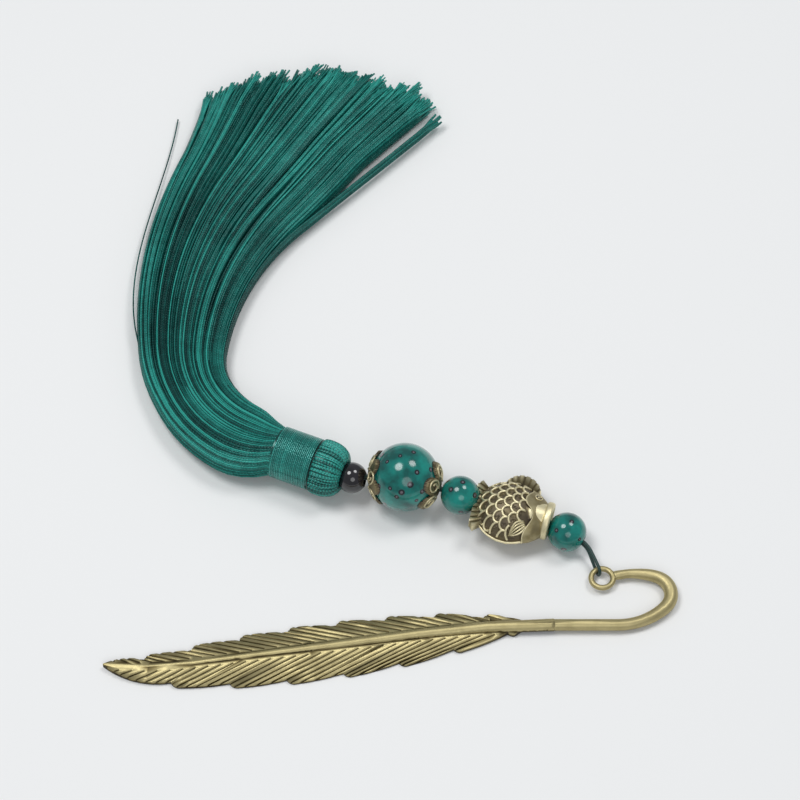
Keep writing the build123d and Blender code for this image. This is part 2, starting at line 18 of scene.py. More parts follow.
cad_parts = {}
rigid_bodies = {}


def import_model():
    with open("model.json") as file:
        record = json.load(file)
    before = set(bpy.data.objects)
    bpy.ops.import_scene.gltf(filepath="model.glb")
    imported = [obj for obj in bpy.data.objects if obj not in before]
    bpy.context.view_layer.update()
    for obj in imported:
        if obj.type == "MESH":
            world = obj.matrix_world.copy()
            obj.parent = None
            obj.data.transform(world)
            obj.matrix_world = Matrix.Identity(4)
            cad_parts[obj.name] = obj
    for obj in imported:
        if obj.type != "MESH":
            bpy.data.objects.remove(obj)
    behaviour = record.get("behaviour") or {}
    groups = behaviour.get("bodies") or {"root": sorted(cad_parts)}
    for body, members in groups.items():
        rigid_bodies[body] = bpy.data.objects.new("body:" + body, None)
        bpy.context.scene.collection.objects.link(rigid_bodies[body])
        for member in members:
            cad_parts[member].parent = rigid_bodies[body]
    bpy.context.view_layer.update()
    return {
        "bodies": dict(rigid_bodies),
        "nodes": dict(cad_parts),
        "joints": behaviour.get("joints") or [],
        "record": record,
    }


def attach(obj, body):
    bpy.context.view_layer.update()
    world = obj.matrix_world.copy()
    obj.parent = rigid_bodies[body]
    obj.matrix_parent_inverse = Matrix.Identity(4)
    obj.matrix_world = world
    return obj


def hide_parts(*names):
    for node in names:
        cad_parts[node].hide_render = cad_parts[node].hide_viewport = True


LOG = logging.getLogger("bookmark")
MM = 0.001
Colour = tuple[float, float, float]
Place = tuple[float, float, float]
Pair = tuple[float, float]
Piece = bpy.types.Object
Material = bpy.types.Material
Socket = bpy.types.NodeSocket


class Body(Enum):
    """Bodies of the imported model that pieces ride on."""

    FEATHER = "feather"
    STRAND = "strand"
    HOOK_END_BEAD = "hook_end_bead"
    FISH = "fish"
    TAIL_END_BEAD = "tail_end_bead"
    FISH_SIDE_CAP = "fish_side_cap"
    SPECKLED_BEAD = "speckled_bead"
    TASSEL_SIDE_CAP = "tassel_side_cap"
    DARK_BEAD = "dark_bead"
    TASSEL = "tassel"


class Slot(Enum):
    """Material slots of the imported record."""

    BRONZE = "antique_bronze"
    CORD = "waxed_cord"
    GLAZE = "green_glaze"
    STONE = "black_stone"
    THREAD = "tassel_thread"

class Mark(Enum):
    """Attributes on the points of a mesh that the finishes read."""

    RELIEF = "relief"
    SPECK = "speck"
    TONE = "tone"
    ALONG = "along"


def deselect_all() -> None:
    """Leave edit mode and clear the selection."""
    if bpy.context.object and bpy.context.object.mode != "OBJECT":
        bpy.ops.object.mode_set(mode="OBJECT")
    bpy.ops.object.select_all(action="DESELECT")


def take(piece: Piece) -> Piece:
    """Select one piece alone and make it active.

    Args:
        piece: The object to work on.

    Returns:
        The same object.
    """
    deselect_all()
    piece.select_set(True)
    bpy.context.view_layer.objects.active = piece
    return piece


def settle(piece: Piece, place: Matrix) -> None:
    """Put a piece's place into its mesh, with its object left at the origin.

    Args:
        piece: The object, modelled about its own origin.
        place: Where the piece goes, in metres.
    """
    take(piece)
    bpy.ops.object.transform_apply(location=True, rotation=True, scale=True)
    piece.data.transform(place)
    piece.data.update()


def pick_points(piece: Piece, wanted: Callable[[Vector], bool]) -> None:
    """Enter edit mode with only some points selected.

    Args:
        piece: The mesh object.
        wanted: Says whether the point at a place is selected.
    """
    take(piece)
    bpy.ops.object.mode_set(mode="EDIT")
    bpy.ops.mesh.select_mode(type="VERT")
    bpy.ops.mesh.select_all(action="DESELECT")
    bpy.ops.object.mode_set(mode="OBJECT")
    for vertex in piece.data.vertices:
        vertex.select = wanted(vertex.co)
    bpy.ops.object.mode_set(mode="EDIT")


def apply_modifiers(piece: Piece) -> None:
    """Apply every modifier of a piece, in order.

    Args:
        piece: The object with the modifiers.
    """
    take(piece)
    for modifier in list(piece.modifiers):
        bpy.ops.object.modifier_apply(modifier=modifier.name)


def smooth(piece: Piece, angle: float = 35.0) -> None:
    """Shade a piece smooth, with edges sharper than an angle left crisp.

    Args:
        piece: The object to shade.
        angle: The angle in degrees.
    """
    take(piece)
    bpy.ops.object.shade_smooth_by_angle(angle=math.radians(angle))


def aligned(origin: Vector, axis: Vector) -> Matrix:
    """Place with its Z axis along a direction.

    Args:
        origin: The place's origin.
        axis: The direction of its Z axis.

    Returns:
        The place as a matrix.
    """
    upright = axis.to_track_quat("Z", "Y").to_matrix().to_4x4()
    return Matrix.Translation(origin) @ upright

def placed(place: Matrix, x: np.ndarray, y: np.ndarray, z: np.ndarray) -> np.ndarray:
    """Points that are given along the axes of a place.

    Args:
        place: The place, in millimetres.
        x: Distances along its X axis.
        y: Distances along its Y axis.
        z: Distances along its Z axis.

    Returns:
        Points in millimetres, one row each.
    """
    frame = np.array(place)
    return np.column_stack((x, y, z)) @ frame[:3, :3].T + frame[:3, 3]


def edit_all(piece: Piece) -> None:
    """Enter edit mode with all of a piece selected.

    Args:
        piece: The mesh object.
    """
    take(piece)
    bpy.ops.object.mode_set(mode="EDIT")
    bpy.ops.mesh.select_all(action="SELECT")


def turn_outwards(piece: Piece) -> None:
    """Turn the faces of a closed mesh outwards.

    Args:
        piece: The mesh object.
    """
    edit_all(piece)
    bpy.ops.mesh.normals_make_consistent(inside=False)
    bpy.ops.object.mode_set(mode="OBJECT")


def new_object(name: str, data: bpy.types.ID) -> Piece:
    """Object for a mesh, a curve, a lamp or a camera, at the origin.

    Args:
        name: The object's name.
        data: What it holds.

    Returns:
        The new object.
    """
    piece = bpy.data.objects.new(name, data)
    bpy.context.scene.collection.objects.link(piece)
    return piece


def mesh_piece(name: str, points: np.ndarray, links: Sequence[Sequence[int]]) -> Piece:
    """Mesh from points that are joined by edges or faces.

    Args:
        name: The piece's name.
        points: Its points in millimetres, one row each.
        links: Lists of point indices, two to an edge and more to a face.

    Returns:
        The new object.
    """
    mesh = bpy.data.meshes.new(name)
    edges = [link for link in links if len(link) == 2]
    faces = [link for link in links if len(link) > 2]
    mesh.from_pydata((points * MM).tolist(), edges, faces)
    return new_object(name, mesh)


def tube_faces(sides: int, rings: int, start: int = 0) -> list[list[int]]:
    """Faces of a tube of rings, closed at both ends.

    Args:
        sides: Number of points in a ring.
        rings: Number of rings.
        start: Index of the tube's first point.

    Returns:
        Lists of point indices.
    """
    last = start + (rings - 1) * sides
    faces = [[start + side for side in range(sides)], [last + side for side in range(sides)][::-1]]
    for here in range(start, last, sides):
        for side in range(sides):
            after = (side + 1) % sides
            faces.append([here + side, here + sides + side, here + sides + after, here + after])
    return faces


def set_values(piece: Piece, mark: Mark, values: float | Sequence[float]) -> None:
    """Store a number for each point of a mesh.

    Args:
        piece: The mesh object.
        mark: The attribute.
        values: One number for all points, or one for each in their order.
    """
    layer = piece.data.attributes.new(mark.value, "FLOAT", "POINT")
    numbers = np.broadcast_to(values, len(piece.data.vertices))
    layer.data.foreach_set("value", np.ascontiguousarray(numbers, dtype=np.float32))


def points_of(piece: Piece) -> np.ndarray:
    """Points of a mesh.

    Args:
        piece: The mesh object.

    Returns:
        The points in millimetres, one row each.
    """
    flat = np.empty(len(piece.data.vertices) * 3, dtype=np.float64)
    piece.data.vertices.foreach_get("co", flat)
    return flat.reshape(-1, 3) / MM


class Bench:
    """Node tree of one material, with short calls to add and join nodes."""

    def __init__(self, name: str) -> None:
        """Start a new material with a bare shader.

        Args:
            name: The material's name.
        """
        self.material = bpy.data.materials.new(name)
        self.material.use_nodes = True
        self.tree = self.material.node_tree
        self.shader = self.tree.nodes["Principled BSDF"]

    def add(self, kind: str, **settings: object) -> bpy.types.Node:
        """Add a node.

        Args:
            kind: The node's type name without its ShaderNode prefix.
            settings: Properties to set, or values of inputs by name with spaces as underscores.

        Returns:
            The new node.
        """
        node = self.tree.nodes.new(f"ShaderNode{kind}")
        for name, value in settings.items():
            if hasattr(node, name):
                setattr(node, name, value)
            else:
                node.inputs[name.replace("_", " ")].default_value = value
        return node

    def join(self, source: Socket, target: Socket) -> None:
        """Link one socket to another."""
        self.tree.links.new(source, target)

    def noise(self, scale: float, detail: float) -> Socket:
        """Noise on the object's own coordinates.

        Args:
            scale: Waves to the metre.
            detail: Octaves of finer noise.

        Returns:
            The socket with the noise from 0 to 1.
        """
        noise = self.add("TexNoise", Scale=scale, Detail=detail)
        self.join(self.add("TexCoord").outputs["Object"], noise.inputs["Vector"])
        return noise.outputs["Fac"]

    def attribute(self, mark: Mark) -> Socket:
        """Value of a mesh attribute."""
        return self.add("Attribute", attribute_name=mark.value).outputs["Fac"]

    def ramp(self, source: Socket, *stops: tuple[float, Colour]) -> Socket:
        """Colour ramp.

        Args:
            source: The socket that drives it.
            stops: Places from 0 to 1 with their colours.

        Returns:
            The colour socket.
        """
        ramp = self.add("ValToRGB")
        elements = ramp.color_ramp.elements
        while len(elements) < len(stops):
            elements.new(0.5)
        for element, (place, colour) in zip(elements, stops):
            element.position = place
            element.color = (*colour, 1.0)
        self.join(source, ramp.inputs["Fac"])
        return ramp.outputs["Color"]

    def spread(
        self, source: Socket, low: float, high: float, ends: Pair = (0.0, 1.0)
    ) -> Socket:
        """Map a value onto a range.

        Args:
            source: The socket to map.
            low: Result for the first end.
            high: Result for the second end.
            ends: The values that give the two results.

        Returns:
            The socket with the result.
        """
        first, second = ends
        spread = self.add("MapRange", From_Min=first, From_Max=second, To_Min=low, To_Max=high)
        self.join(source, spread.inputs["Value"])
        return spread.outputs["Result"]

    def maths(self, operation: str, *values: Socket | float) -> Socket:
        """Combine values.

        Args:
            operation: The node's operation.
            values: Sockets or numbers, in the order of the node's inputs.

        Returns:
            The socket with the result.
        """
        node = self.add("Math", operation=operation)
        for socket, value in zip(node.inputs, values):
            if isinstance(value, Socket):
                self.join(value, socket)
            else:
                socket.default_value = value
        return node.outputs["Value"]

    def mix(
        self, share: Socket, one: Socket, other: Socket
    ) -> Socket:
        """Mix two colours.

        Args:
            share: The share of the second colour.
            one: The first colour.
            other: The second colour.

        Returns:
            The colour socket.
        """
        node = self.add("Mix", data_type="RGBA")
        self.join(share, node.inputs["Factor"])
        colours = [socket for socket in node.inputs if socket.type == "RGBA"]
        for socket, colour in zip(colours, (one, other)):
            self.join(colour, socket)
        return next(socket for socket in node.outputs if socket.type == "RGBA")

    def bump(self, source: Socket, depth: float, strength: float = 1.0) -> None:
        """Bump the shader's surface.

        Args:
            source: The socket with the height from 0 to 1.
            depth: The height of 1 in metres.
            strength: The share of the effect.
        """
        bump = self.add("Bump", Strength=strength, Distance=depth)
        self.join(source, bump.inputs["Height"])
        self.join(bump.outputs["Normal"], self.shader.inputs["Normal"])

    def colour(self, source: Socket) -> None:
        """Join a colour to the shader."""
        self.join(source, self.shader.inputs["Base Color"])

    def roughness(self, source: Socket) -> None:
        """Join a roughness to the shader."""
        self.join(source, self.shader.inputs["Roughness"])

    def set(self, **values: object) -> None:
        """Set the shader's own sockets, with spaces in their names as underscores."""
        for name, value in values.items():
            self.shader.inputs[name.replace("_", " ")].default_value = value


@dataclass(frozen=True)
class AntiqueBronze:
    """Cast metal with a dark patina in its recesses and rubbed ridges."""

    name: str = "antique_bronze"
    recess: Colour = (0.040, 0.030, 0.014)
    flat: Colour = (0.215, 0.170, 0.072)
    ridge: Colour = (0.500, 0.430, 0.220)
    wear: float = 0.22
    polish: Pair = (0.38, 0.56)

    def material(self) -> Material:
        """Make the material.

        Returns:
            The material, which reads how proud the surface is from an attribute.
        """
        bench = Bench(self.name)
        proud = bench.attribute(Mark.RELIEF)
        cloud = bench.noise(420.0, 4.0)
        rubbed = bench.maths("ADD", proud, bench.spread(cloud, -self.wear, self.wear))
        bench.colour(bench.ramp(rubbed, (0.05, self.recess), (0.5, self.flat), (0.95, self.ridge)))
        bench.roughness(bench.spread(bench.noise(1900.0, 2.0), *self.polish))
        bench.bump(bench.noise(2600.0, 3.0), 0.00004, 0.5)
        bench.set(Metallic=0.92)
        return bench.material


@dataclass(frozen=True)
class GreenGlaze:
    """Deep green glaze with clouded depth and ringed specks."""

    deep: Colour = (0.0008, 0.080, 0.070)
    bright: Colour = (0.004, 0.240, 0.200)
    ring: Colour = (0.008, 0.012, 0.016)
    heart: Colour = (0.15, 0.13, 0.15)
    speck_edge: Pair = (0.92, 1.1)
    polish: Pair = (0.05, 0.12)

    def material(self) -> Material:
        """Make the material.

        Returns:
            The material, which reads the distance to the nearest speck from an attribute.
        """
        bench = Bench("green_glaze")
        ground = bench.ramp(bench.noise(300.0, 3.0), (0.36, self.deep), (0.66, self.bright))
        away = bench.attribute(Mark.SPECK)
        inside = bench.spread(away, 1.0, 0.0, self.speck_edge)
        speck = bench.ramp(away, (0.36, self.heart), (0.55, self.ring))
        bench.colour(bench.mix(inside, ground, speck))
        bench.roughness(bench.spread(bench.noise(900.0, 2.0), *self.polish))
        bench.bump(bench.noise(500.0, 2.0), 0.00003, 0.3)
        bench.set(Coat_Weight=1.0, Coat_Roughness=0.13, Specular_IOR_Level=0.1)
        return bench.material


@dataclass(frozen=True)
class BlackStone:
    """Polished stone, near black with a touch of purple."""

    dark: Colour = (0.003, 0.003, 0.004)
    vein: Colour = (0.016, 0.013, 0.018)
    polish: Pair = (0.08, 0.16)

    def material(self) -> Material:
        """Make the material.

        Returns:
            The material.
        """
        bench = Bench("black_stone")
        bench.colour(bench.ramp(bench.noise(520.0, 5.0), (0.35, self.dark), (0.75, self.vein)))
        bench.roughness(bench.spread(bench.noise(1300.0, 2.0), *self.polish))
        bench.set(Coat_Weight=0.6, Coat_Roughness=0.04)
        return bench.material


@dataclass(frozen=True)
class SilkThread:
    """Silky twisted thread whose tone differs from thread to thread."""

    name: str = "tassel_thread"
    dark: Colour = (0.0008, 0.026, 0.024)
    middle: Colour = (0.0080, 0.135, 0.114)
    light: Colour = (0.0340, 0.360, 0.300)
    tint: Colour = (0.52, 1.0, 0.93)
    gloss: float = 0.26
    shine: float = 0.55
    twist_pitch: float = 0.62
    twist: float = 0.08
    ply_shift: float = 90.0
    streak: float = 0.2
    cloud: float = 0.34
    ior: float = 1.5

    def material(self) -> Material:
        """Make the material.

        Returns:
            The material, which reads each thread's tone and the distance along it from attributes.
        """
        bench = Bench(self.name)
        tone = bench.attribute(Mark.TONE)
        turns = bench.maths("MULTIPLY", bench.attribute(Mark.ALONG), 2 * math.pi / self.twist_pitch)
        shift = bench.maths("MULTIPLY", tone, self.ply_shift)
        ply = bench.maths("SINE", bench.maths("ADD", turns, shift))
        streak = bench.spread(bench.noise(700.0, 2.0), -self.streak, self.streak)
        cloud = bench.spread(bench.noise(75.0, 2.0), -self.cloud, self.cloud)
        mottled = bench.maths("ADD", tone, bench.maths("ADD", streak, cloud))
        shade = bench.maths("ADD", mottled, bench.maths("MULTIPLY", ply, self.twist))
        bench.colour(bench.ramp(shade, (0.05, self.dark), (0.5, self.middle), (0.95, self.light)))
        bench.roughness(bench.spread(bench.noise(1500.0, 1.0), self.gloss - 0.06, self.gloss + 0.08))
        bench.bump(ply, 0.00003, 0.35)
        bench.set(Specular_IOR_Level=self.shine, Specular_Tint=(*self.tint, 1.0), IOR=self.ior)
        return bench.material


@dataclass(frozen=True)
class WaxedCord:
    """Dark waxed cord with a fine twist."""

    dark: Colour = (0.004, 0.020, 0.018)
    light: Colour = (0.012, 0.062, 0.052)
    polish: Pair = (0.38, 0.58)

    def material(self) -> Material:
        """Make the material.

        Returns:
            The material.
        """
        bench = Bench("waxed_cord")
        twist = bench.noise(3800.0, 2.0)
        bench.colour(bench.ramp(twist, (0.3, self.dark), (0.75, self.light)))
        bench.roughness(bench.spread(twist, *self.polish))
        bench.bump(twist, 0.00006, 0.7)
        bench.set(Sheen_Weight=0.15)
        return bench.material


class Shade(Enum):
    """Materials of the bookmark by their use, each with its slot of the record."""

    BRONZE = ("bronze", Slot.BRONZE)
    GREY_BRONZE = ("grey_bronze", Slot.BRONZE)
    GLAZE = ("glaze", Slot.GLAZE)
    STONE = ("stone", Slot.STONE)
    CORD = ("cord", Slot.CORD)
    SKIRT = ("skirt", Slot.THREAD)
    HEAD = ("head", Slot.THREAD)
    NECK = ("neck", Slot.THREAD)
    TIE = ("tie", Slot.CORD)

    @property
    def slot(self) -> Slot:
        """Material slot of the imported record."""
        return self.value[1]


class Palette:
    """All the materials, each made once."""

    def __init__(self) -> None:
        """Make the materials."""
        finishes = {
            Shade.BRONZE: AntiqueBronze(),
            Shade.GREY_BRONZE: AntiqueBronze(
                name="grey_bronze",
                recess=(0.095, 0.076, 0.064),
                flat=(0.300, 0.252, 0.130),
                ridge=(0.860, 0.780, 0.510),
            ),
            Shade.GLAZE: GreenGlaze(),
            Shade.STONE: BlackStone(),
            Shade.CORD: WaxedCord(),
            Shade.SKIRT: SilkThread(),
            Shade.HEAD: SilkThread(name="head_thread", twist=0.24, ior=1.6),
            Shade.NECK: SilkThread(
                name="neck_thread",
                tint=(0.36, 1.0, 0.92),
                gloss=0.2,
                shine=1.0,
                twist=0.06,
                ior=1.7,
            ),
            Shade.TIE: SilkThread(
                name="tie_thread",
                dark=(0.001, 0.003, 0.003),
                middle=(0.002, 0.006, 0.006),
                light=(0.004, 0.015, 0.014),
            ),
        }
        self.shades = {shade: finish.material() for shade, finish in finishes.items()}

    def __getitem__(self, shade: Shade) -> Material:
        """Material for a use."""
        return self.shades[shade]


@dataclass
class Kit:
    """CAD nodes and materials that every part of the bookmark is built from."""

    nodes: dict[str, Piece]
    palette: Palette

    def copy_node(self, node: str, name: str) -> Piece:
        """Copy a CAD node as a piece of its own, with its loose triangles joined.

        Args:
            node: The CAD node's name.
            name: The new piece's name.

        Returns:
            The new object.
        """
        piece = new_object(name, self.nodes[node].data.copy())
        edit_all(piece)
        bpy.ops.mesh.remove_doubles(threshold=2e-6)
        bpy.ops.object.mode_set(mode="OBJECT")
        return piece

    def hand_in(self, piece: Piece, body: Body, shade: Shade, *nodes: str) -> None:
        """Give a piece its material and body, hide the CAD nodes that it stands for, and log its slot.

        Args:
            piece: The finished object.
            body: The body that it rides on.
            shade: The material that it wears.
            nodes: Names of the CAD nodes that it replaces.
        """
        piece.data.materials.clear()
        piece.data.materials.append(self.palette[shade])
        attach(piece, body.value)
        if nodes:
            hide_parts(*nodes)
        LOG.info("%s rides on %s in %s", piece.name, body.value, shade.slot.value)


@dataclass
class Assembly:
    kit: Kit

    def build(self) -> None:
        """Build the part's pieces and dress them."""
        raise NotImplementedError


@dataclass
class Tubes:
    """Fine round threads, gathered in one mesh with a tone for each thread."""

    sides: int = 4
    across: Place = (0.13, 0.21, 1.0)

    def rings(self, path: np.ndarray, radius: float | np.ndarray) -> np.ndarray:
        """Rings of points round one path, which nowhere runs in the direction across.

        Args:
            path: Points of the centre line in millimetres.
            radius: The thread's radius in millimetres, or one for each point.

        Returns:
            The ring points, path point by path point.
        """
        tangent = np.gradient(path, axis=0)
        tangent /= np.linalg.norm(tangent, axis=1)[:, None]
        aside = np.cross(tangent, np.array(self.across))
        aside /= np.linalg.norm(aside, axis=1)[:, None]
        above = np.cross(aside, tangent)
        turn = (np.arange(self.sides) * 2 * math.pi / self.sides)[None, :, None]
        wheel = np.cos(turn) * aside[:, None, :] + np.sin(turn) * above[:, None, :]
        girth = np.broadcast_to(radius, len(path))[:, None, None]
        return (path[:, None, :] + girth * wheel).reshape(-1, 3)

    def build(
        self,
        name: str,
        paths: Sequence[np.ndarray],
        radii: Iterable[float | np.ndarray],
        tones: Iterable[float | np.ndarray] = repeat(0.5),
    ) -> Piece:
        """Build the mesh.

        Args:
            name: The piece's name.
            paths: Centre lines in millimetres.
            radii: A radius for each path, or an array with one for each of its points.
            tones: A tone for each path, from 0 to 1, or an array with one for each of its points.

        Returns:
            The new object, smooth and at the origin.
        """
        points: list[np.ndarray] = []
        faces: list[list[int]] = []
        shades: list[np.ndarray] = []
        runs: list[np.ndarray] = []
        start = 0
        for path, radius, tone in zip(paths, radii, tones):
            points.append(self.rings(path, radius))
            faces.extend(tube_faces(self.sides, len(path), start))
            shades.append(np.repeat(np.broadcast_to(tone, len(path)), self.sides))
            steps = np.linalg.norm(np.diff(path, axis=0), axis=1)
            runs.append(np.repeat(np.concatenate(([0.0], np.cumsum(steps))), self.sides))
            start += len(points[-1])
        piece = mesh_piece(name, np.vstack(points), faces)
        set_values(piece, Mark.TONE, np.concatenate(shades))
        set_values(piece, Mark.ALONG, np.concatenate(runs))
        turn_outwards(piece)
        bpy.ops.object.shade_smooth()
        return piece


@dataclass
class Feather(Assembly):
    """Cast feather with its hook: the CAD shape, with a patina that follows its grooves."""

    quill: float = 10.0
    base_radius: float = 175.0
    base_turn: float = 8.2
    straight: float = 46.0
    tip_radius: float = 65.0
    tip_turn: float = 15.0
    step: float = 0.5
    ridge_height: float = 1.35
    slope: float = 0.11
    groove_depth: float = 0.38
    base_girth: float = 2.5
    tip_girth: float = 0.9
    seam_width: float = 0.16
    seam_height: float = 0.25

    def build(self) -> None:
        """Copy, shade and dress the feather."""
        piece = self.kit.copy_node("feather_hook", "cast_feather")
        smooth(piece, 38.0)
        set_values(piece, Mark.RELIEF, self.relief(points_of(piece)))
        self.kit.hand_in(piece, Body.FEATHER, Shade.BRONZE, "feather_hook")

    def shaft(self) -> np.ndarray:
        """Centre line of the shaft in plan.

        Returns:
            Points in millimetres, from the quill to the tip.
        """
        point = np.array([self.quill, 0.0])
        heading = math.pi
        points = [point]
        runs = (
            (self.base_radius * math.radians(self.base_turn), self.base_radius),
            (self.straight, None),
            (self.tip_radius * math.radians(self.tip_turn), -self.tip_radius),
        )
        for length, radius in runs:
            for _ in range(round(length / self.step)):
                point = point + self.step * np.array([math.cos(heading), math.sin(heading)])
                heading += self.step / radius if radius else 0.0
                points.append(point)
        return np.array(points)

    def relief(self, points: np.ndarray) -> np.ndarray:
        """How proud each point is of the grooves.

        Args:
            points: The mesh's points in millimetres.

        Returns:
            Numbers from 0, in a groove, to 1, on a ridge.
        """
        shaft = self.shaft()
        away = np.array([np.linalg.norm(shaft - point[:2], axis=1) for point in points])
        aside, nearest = away.min(axis=1), away.argmin(axis=1)
        girth = np.interp(nearest, (0, len(shaft) - 1), (self.base_girth, self.tip_girth))
        height = points[:, 2]
        roof = self.ridge_height - self.slope * aside
        vane = np.clip(1 - (roof - height) / self.groove_depth, 0.0, 0.92)
        in_seam = (np.abs(aside - girth / 2) < self.seam_width) & (height < roof + self.seam_height)
        vane = np.where(in_seam, 0.1, vane)
        rod = np.clip(0.86 + 0.1 * (height - self.ridge_height), 0.0, 0.95)
        return np.where(points[:, 0] > self.quill, rod, vane)


@dataclass
class Bead(Assembly):
    """Round bead with a bore and softened bore edges."""

    name: str
    body: Body
    centre: Place
    axis: Place
    shade: Shade = Shade.GLAZE
    diameter: float = 7.8
    bore: float = 2.2
    rim: float = 0.12
    rim_angle: float = 40.0
    speck_count: int = 13
    speck_turn: float = 2.4
    speck_wander: float = 0.5
    speck_radii: Pair = (0.4, 0.66)
    no_speck: float = 3.0
    segments: int = 128
    rings: int = 84

    def specks(self, points: np.ndarray) -> np.ndarray:
        """Distance from each point to its nearest speck, in that speck's radii.

        Args:
            points: The bead's points about its centre, in millimetres.

        Returns:
            The distances, up to the value for no speck.
        """
        rng = random.Random(self.name)
        nearest = np.full(len(points), self.no_speck)
        for speck in range(self.speck_count):
            level = 1 - 2 * (speck + 0.5) / self.speck_count
            around = self.speck_turn * speck + rng.uniform(-self.speck_wander, self.speck_wander)
            reach = math.sqrt(1 - level**2)
            way = np.array([reach * math.cos(around), reach * math.sin(around), level])
            away = np.linalg.norm(points - self.diameter / 2 * way, axis=1)
            nearest = np.minimum(nearest, away / rng.uniform(*self.speck_radii))
        return nearest

    def build(self) -> None:
        """Model the bead from a sphere whose poles are opened and joined by the bore."""
        deselect_all()
        bpy.ops.mesh.primitive_uv_sphere_add(
            segments=self.segments,
            ring_count=self.rings,
            radius=self.diameter / 2 * MM,
            location=(0, 0, 0),
        )
        piece = bpy.context.object
        piece.name = self.name
        mouth = self.bore / 2 * MM
        pick_points(piece, lambda place: math.hypot(place.x, place.y) < mouth)
        bpy.ops.mesh.delete(type="VERT")
        bpy.ops.mesh.select_all(action="DESELECT")
        bpy.ops.mesh.select_mode(type="EDGE")
        bpy.ops.mesh.select_non_manifold()
        bpy.ops.mesh.bridge_edge_loops()
        bpy.ops.object.mode_set(mode="OBJECT")
        bevel = piece.modifiers.new("rim", "BEVEL")
        bevel.width = self.rim * MM
        bevel.segments = 3
        bevel.limit_method = "ANGLE"
        bevel.angle_limit = math.radians(self.rim_angle)
        apply_modifiers(piece)
        smooth(piece, 50.0)
        set_values(piece, Mark.SPECK, self.specks(points_of(piece)))
        settle(piece, aligned(Vector(self.centre) * MM, Vector(self.axis)))
        self.kit.hand_in(piece, self.body, self.shade, self.body.value)


@dataclass
class Cap(Assembly):
    """Petal cap on the speckled bead: the CAD dome with a raised scroll on each petal."""

    name: str
    body: Body
    axis: Place
    centre: Place = (-18.991, 30.402, 6.9)
    outer_radius: float = 7.43
    petals: int = 6
    petal_circle: float = 7.2
    petal_radius: float = 1.75
    wire: float = 0.2
    curl_turns: float = 1.45
    curl_in: float = 0.68
    curl_points: int = 40

    def build(self) -> None:
        """Dress the dome and add its scrolls."""
        dome = self.kit.copy_node(self.body.value, f"{self.name}_dome")
        smooth(dome, 35.0)
        reach = np.linalg.norm(points_of(dome) - np.array(self.centre), axis=1)
        proud = (reach - self.outer_radius) / 0.5
        set_values(dome, Mark.RELIEF, np.clip(0.36 + proud, 0.1, 0.5))
        self.kit.hand_in(dome, self.body, Shade.GREY_BRONZE, self.body.value)
        scrolls = Tubes(sides=8).build(f"{self.name}_scrolls", self.paths(), repeat(self.wire))
        set_values(scrolls, Mark.RELIEF, 0.8)
        self.kit.hand_in(scrolls, self.body, Shade.GREY_BRONZE)

    def paths(self) -> list[np.ndarray]:
        """Scroll lines on the dome, one to a petal.

        Returns:
            Centre lines in millimetres.
        """
        place = aligned(Vector(self.centre), Vector(self.axis))
        turn = np.linspace(0, 1, self.curl_points)
        paths = []
        for petal in range(self.petals):
            around = 2 * math.pi * petal / self.petals
            curl = around + math.pi + 2 * math.pi * self.curl_turns * turn
            width = (self.petal_radius - self.wire) * (1 - self.curl_in * turn)
            x = self.petal_circle / 2 * math.cos(around) + width * np.cos(curl)
            y = self.petal_circle / 2 * math.sin(around) + width * np.sin(curl)
            z = np.sqrt(np.maximum(self.outer_radius**2 - x**2 - y**2, 1.0))
            paths.append(placed(place, x, y, z))
        return paths


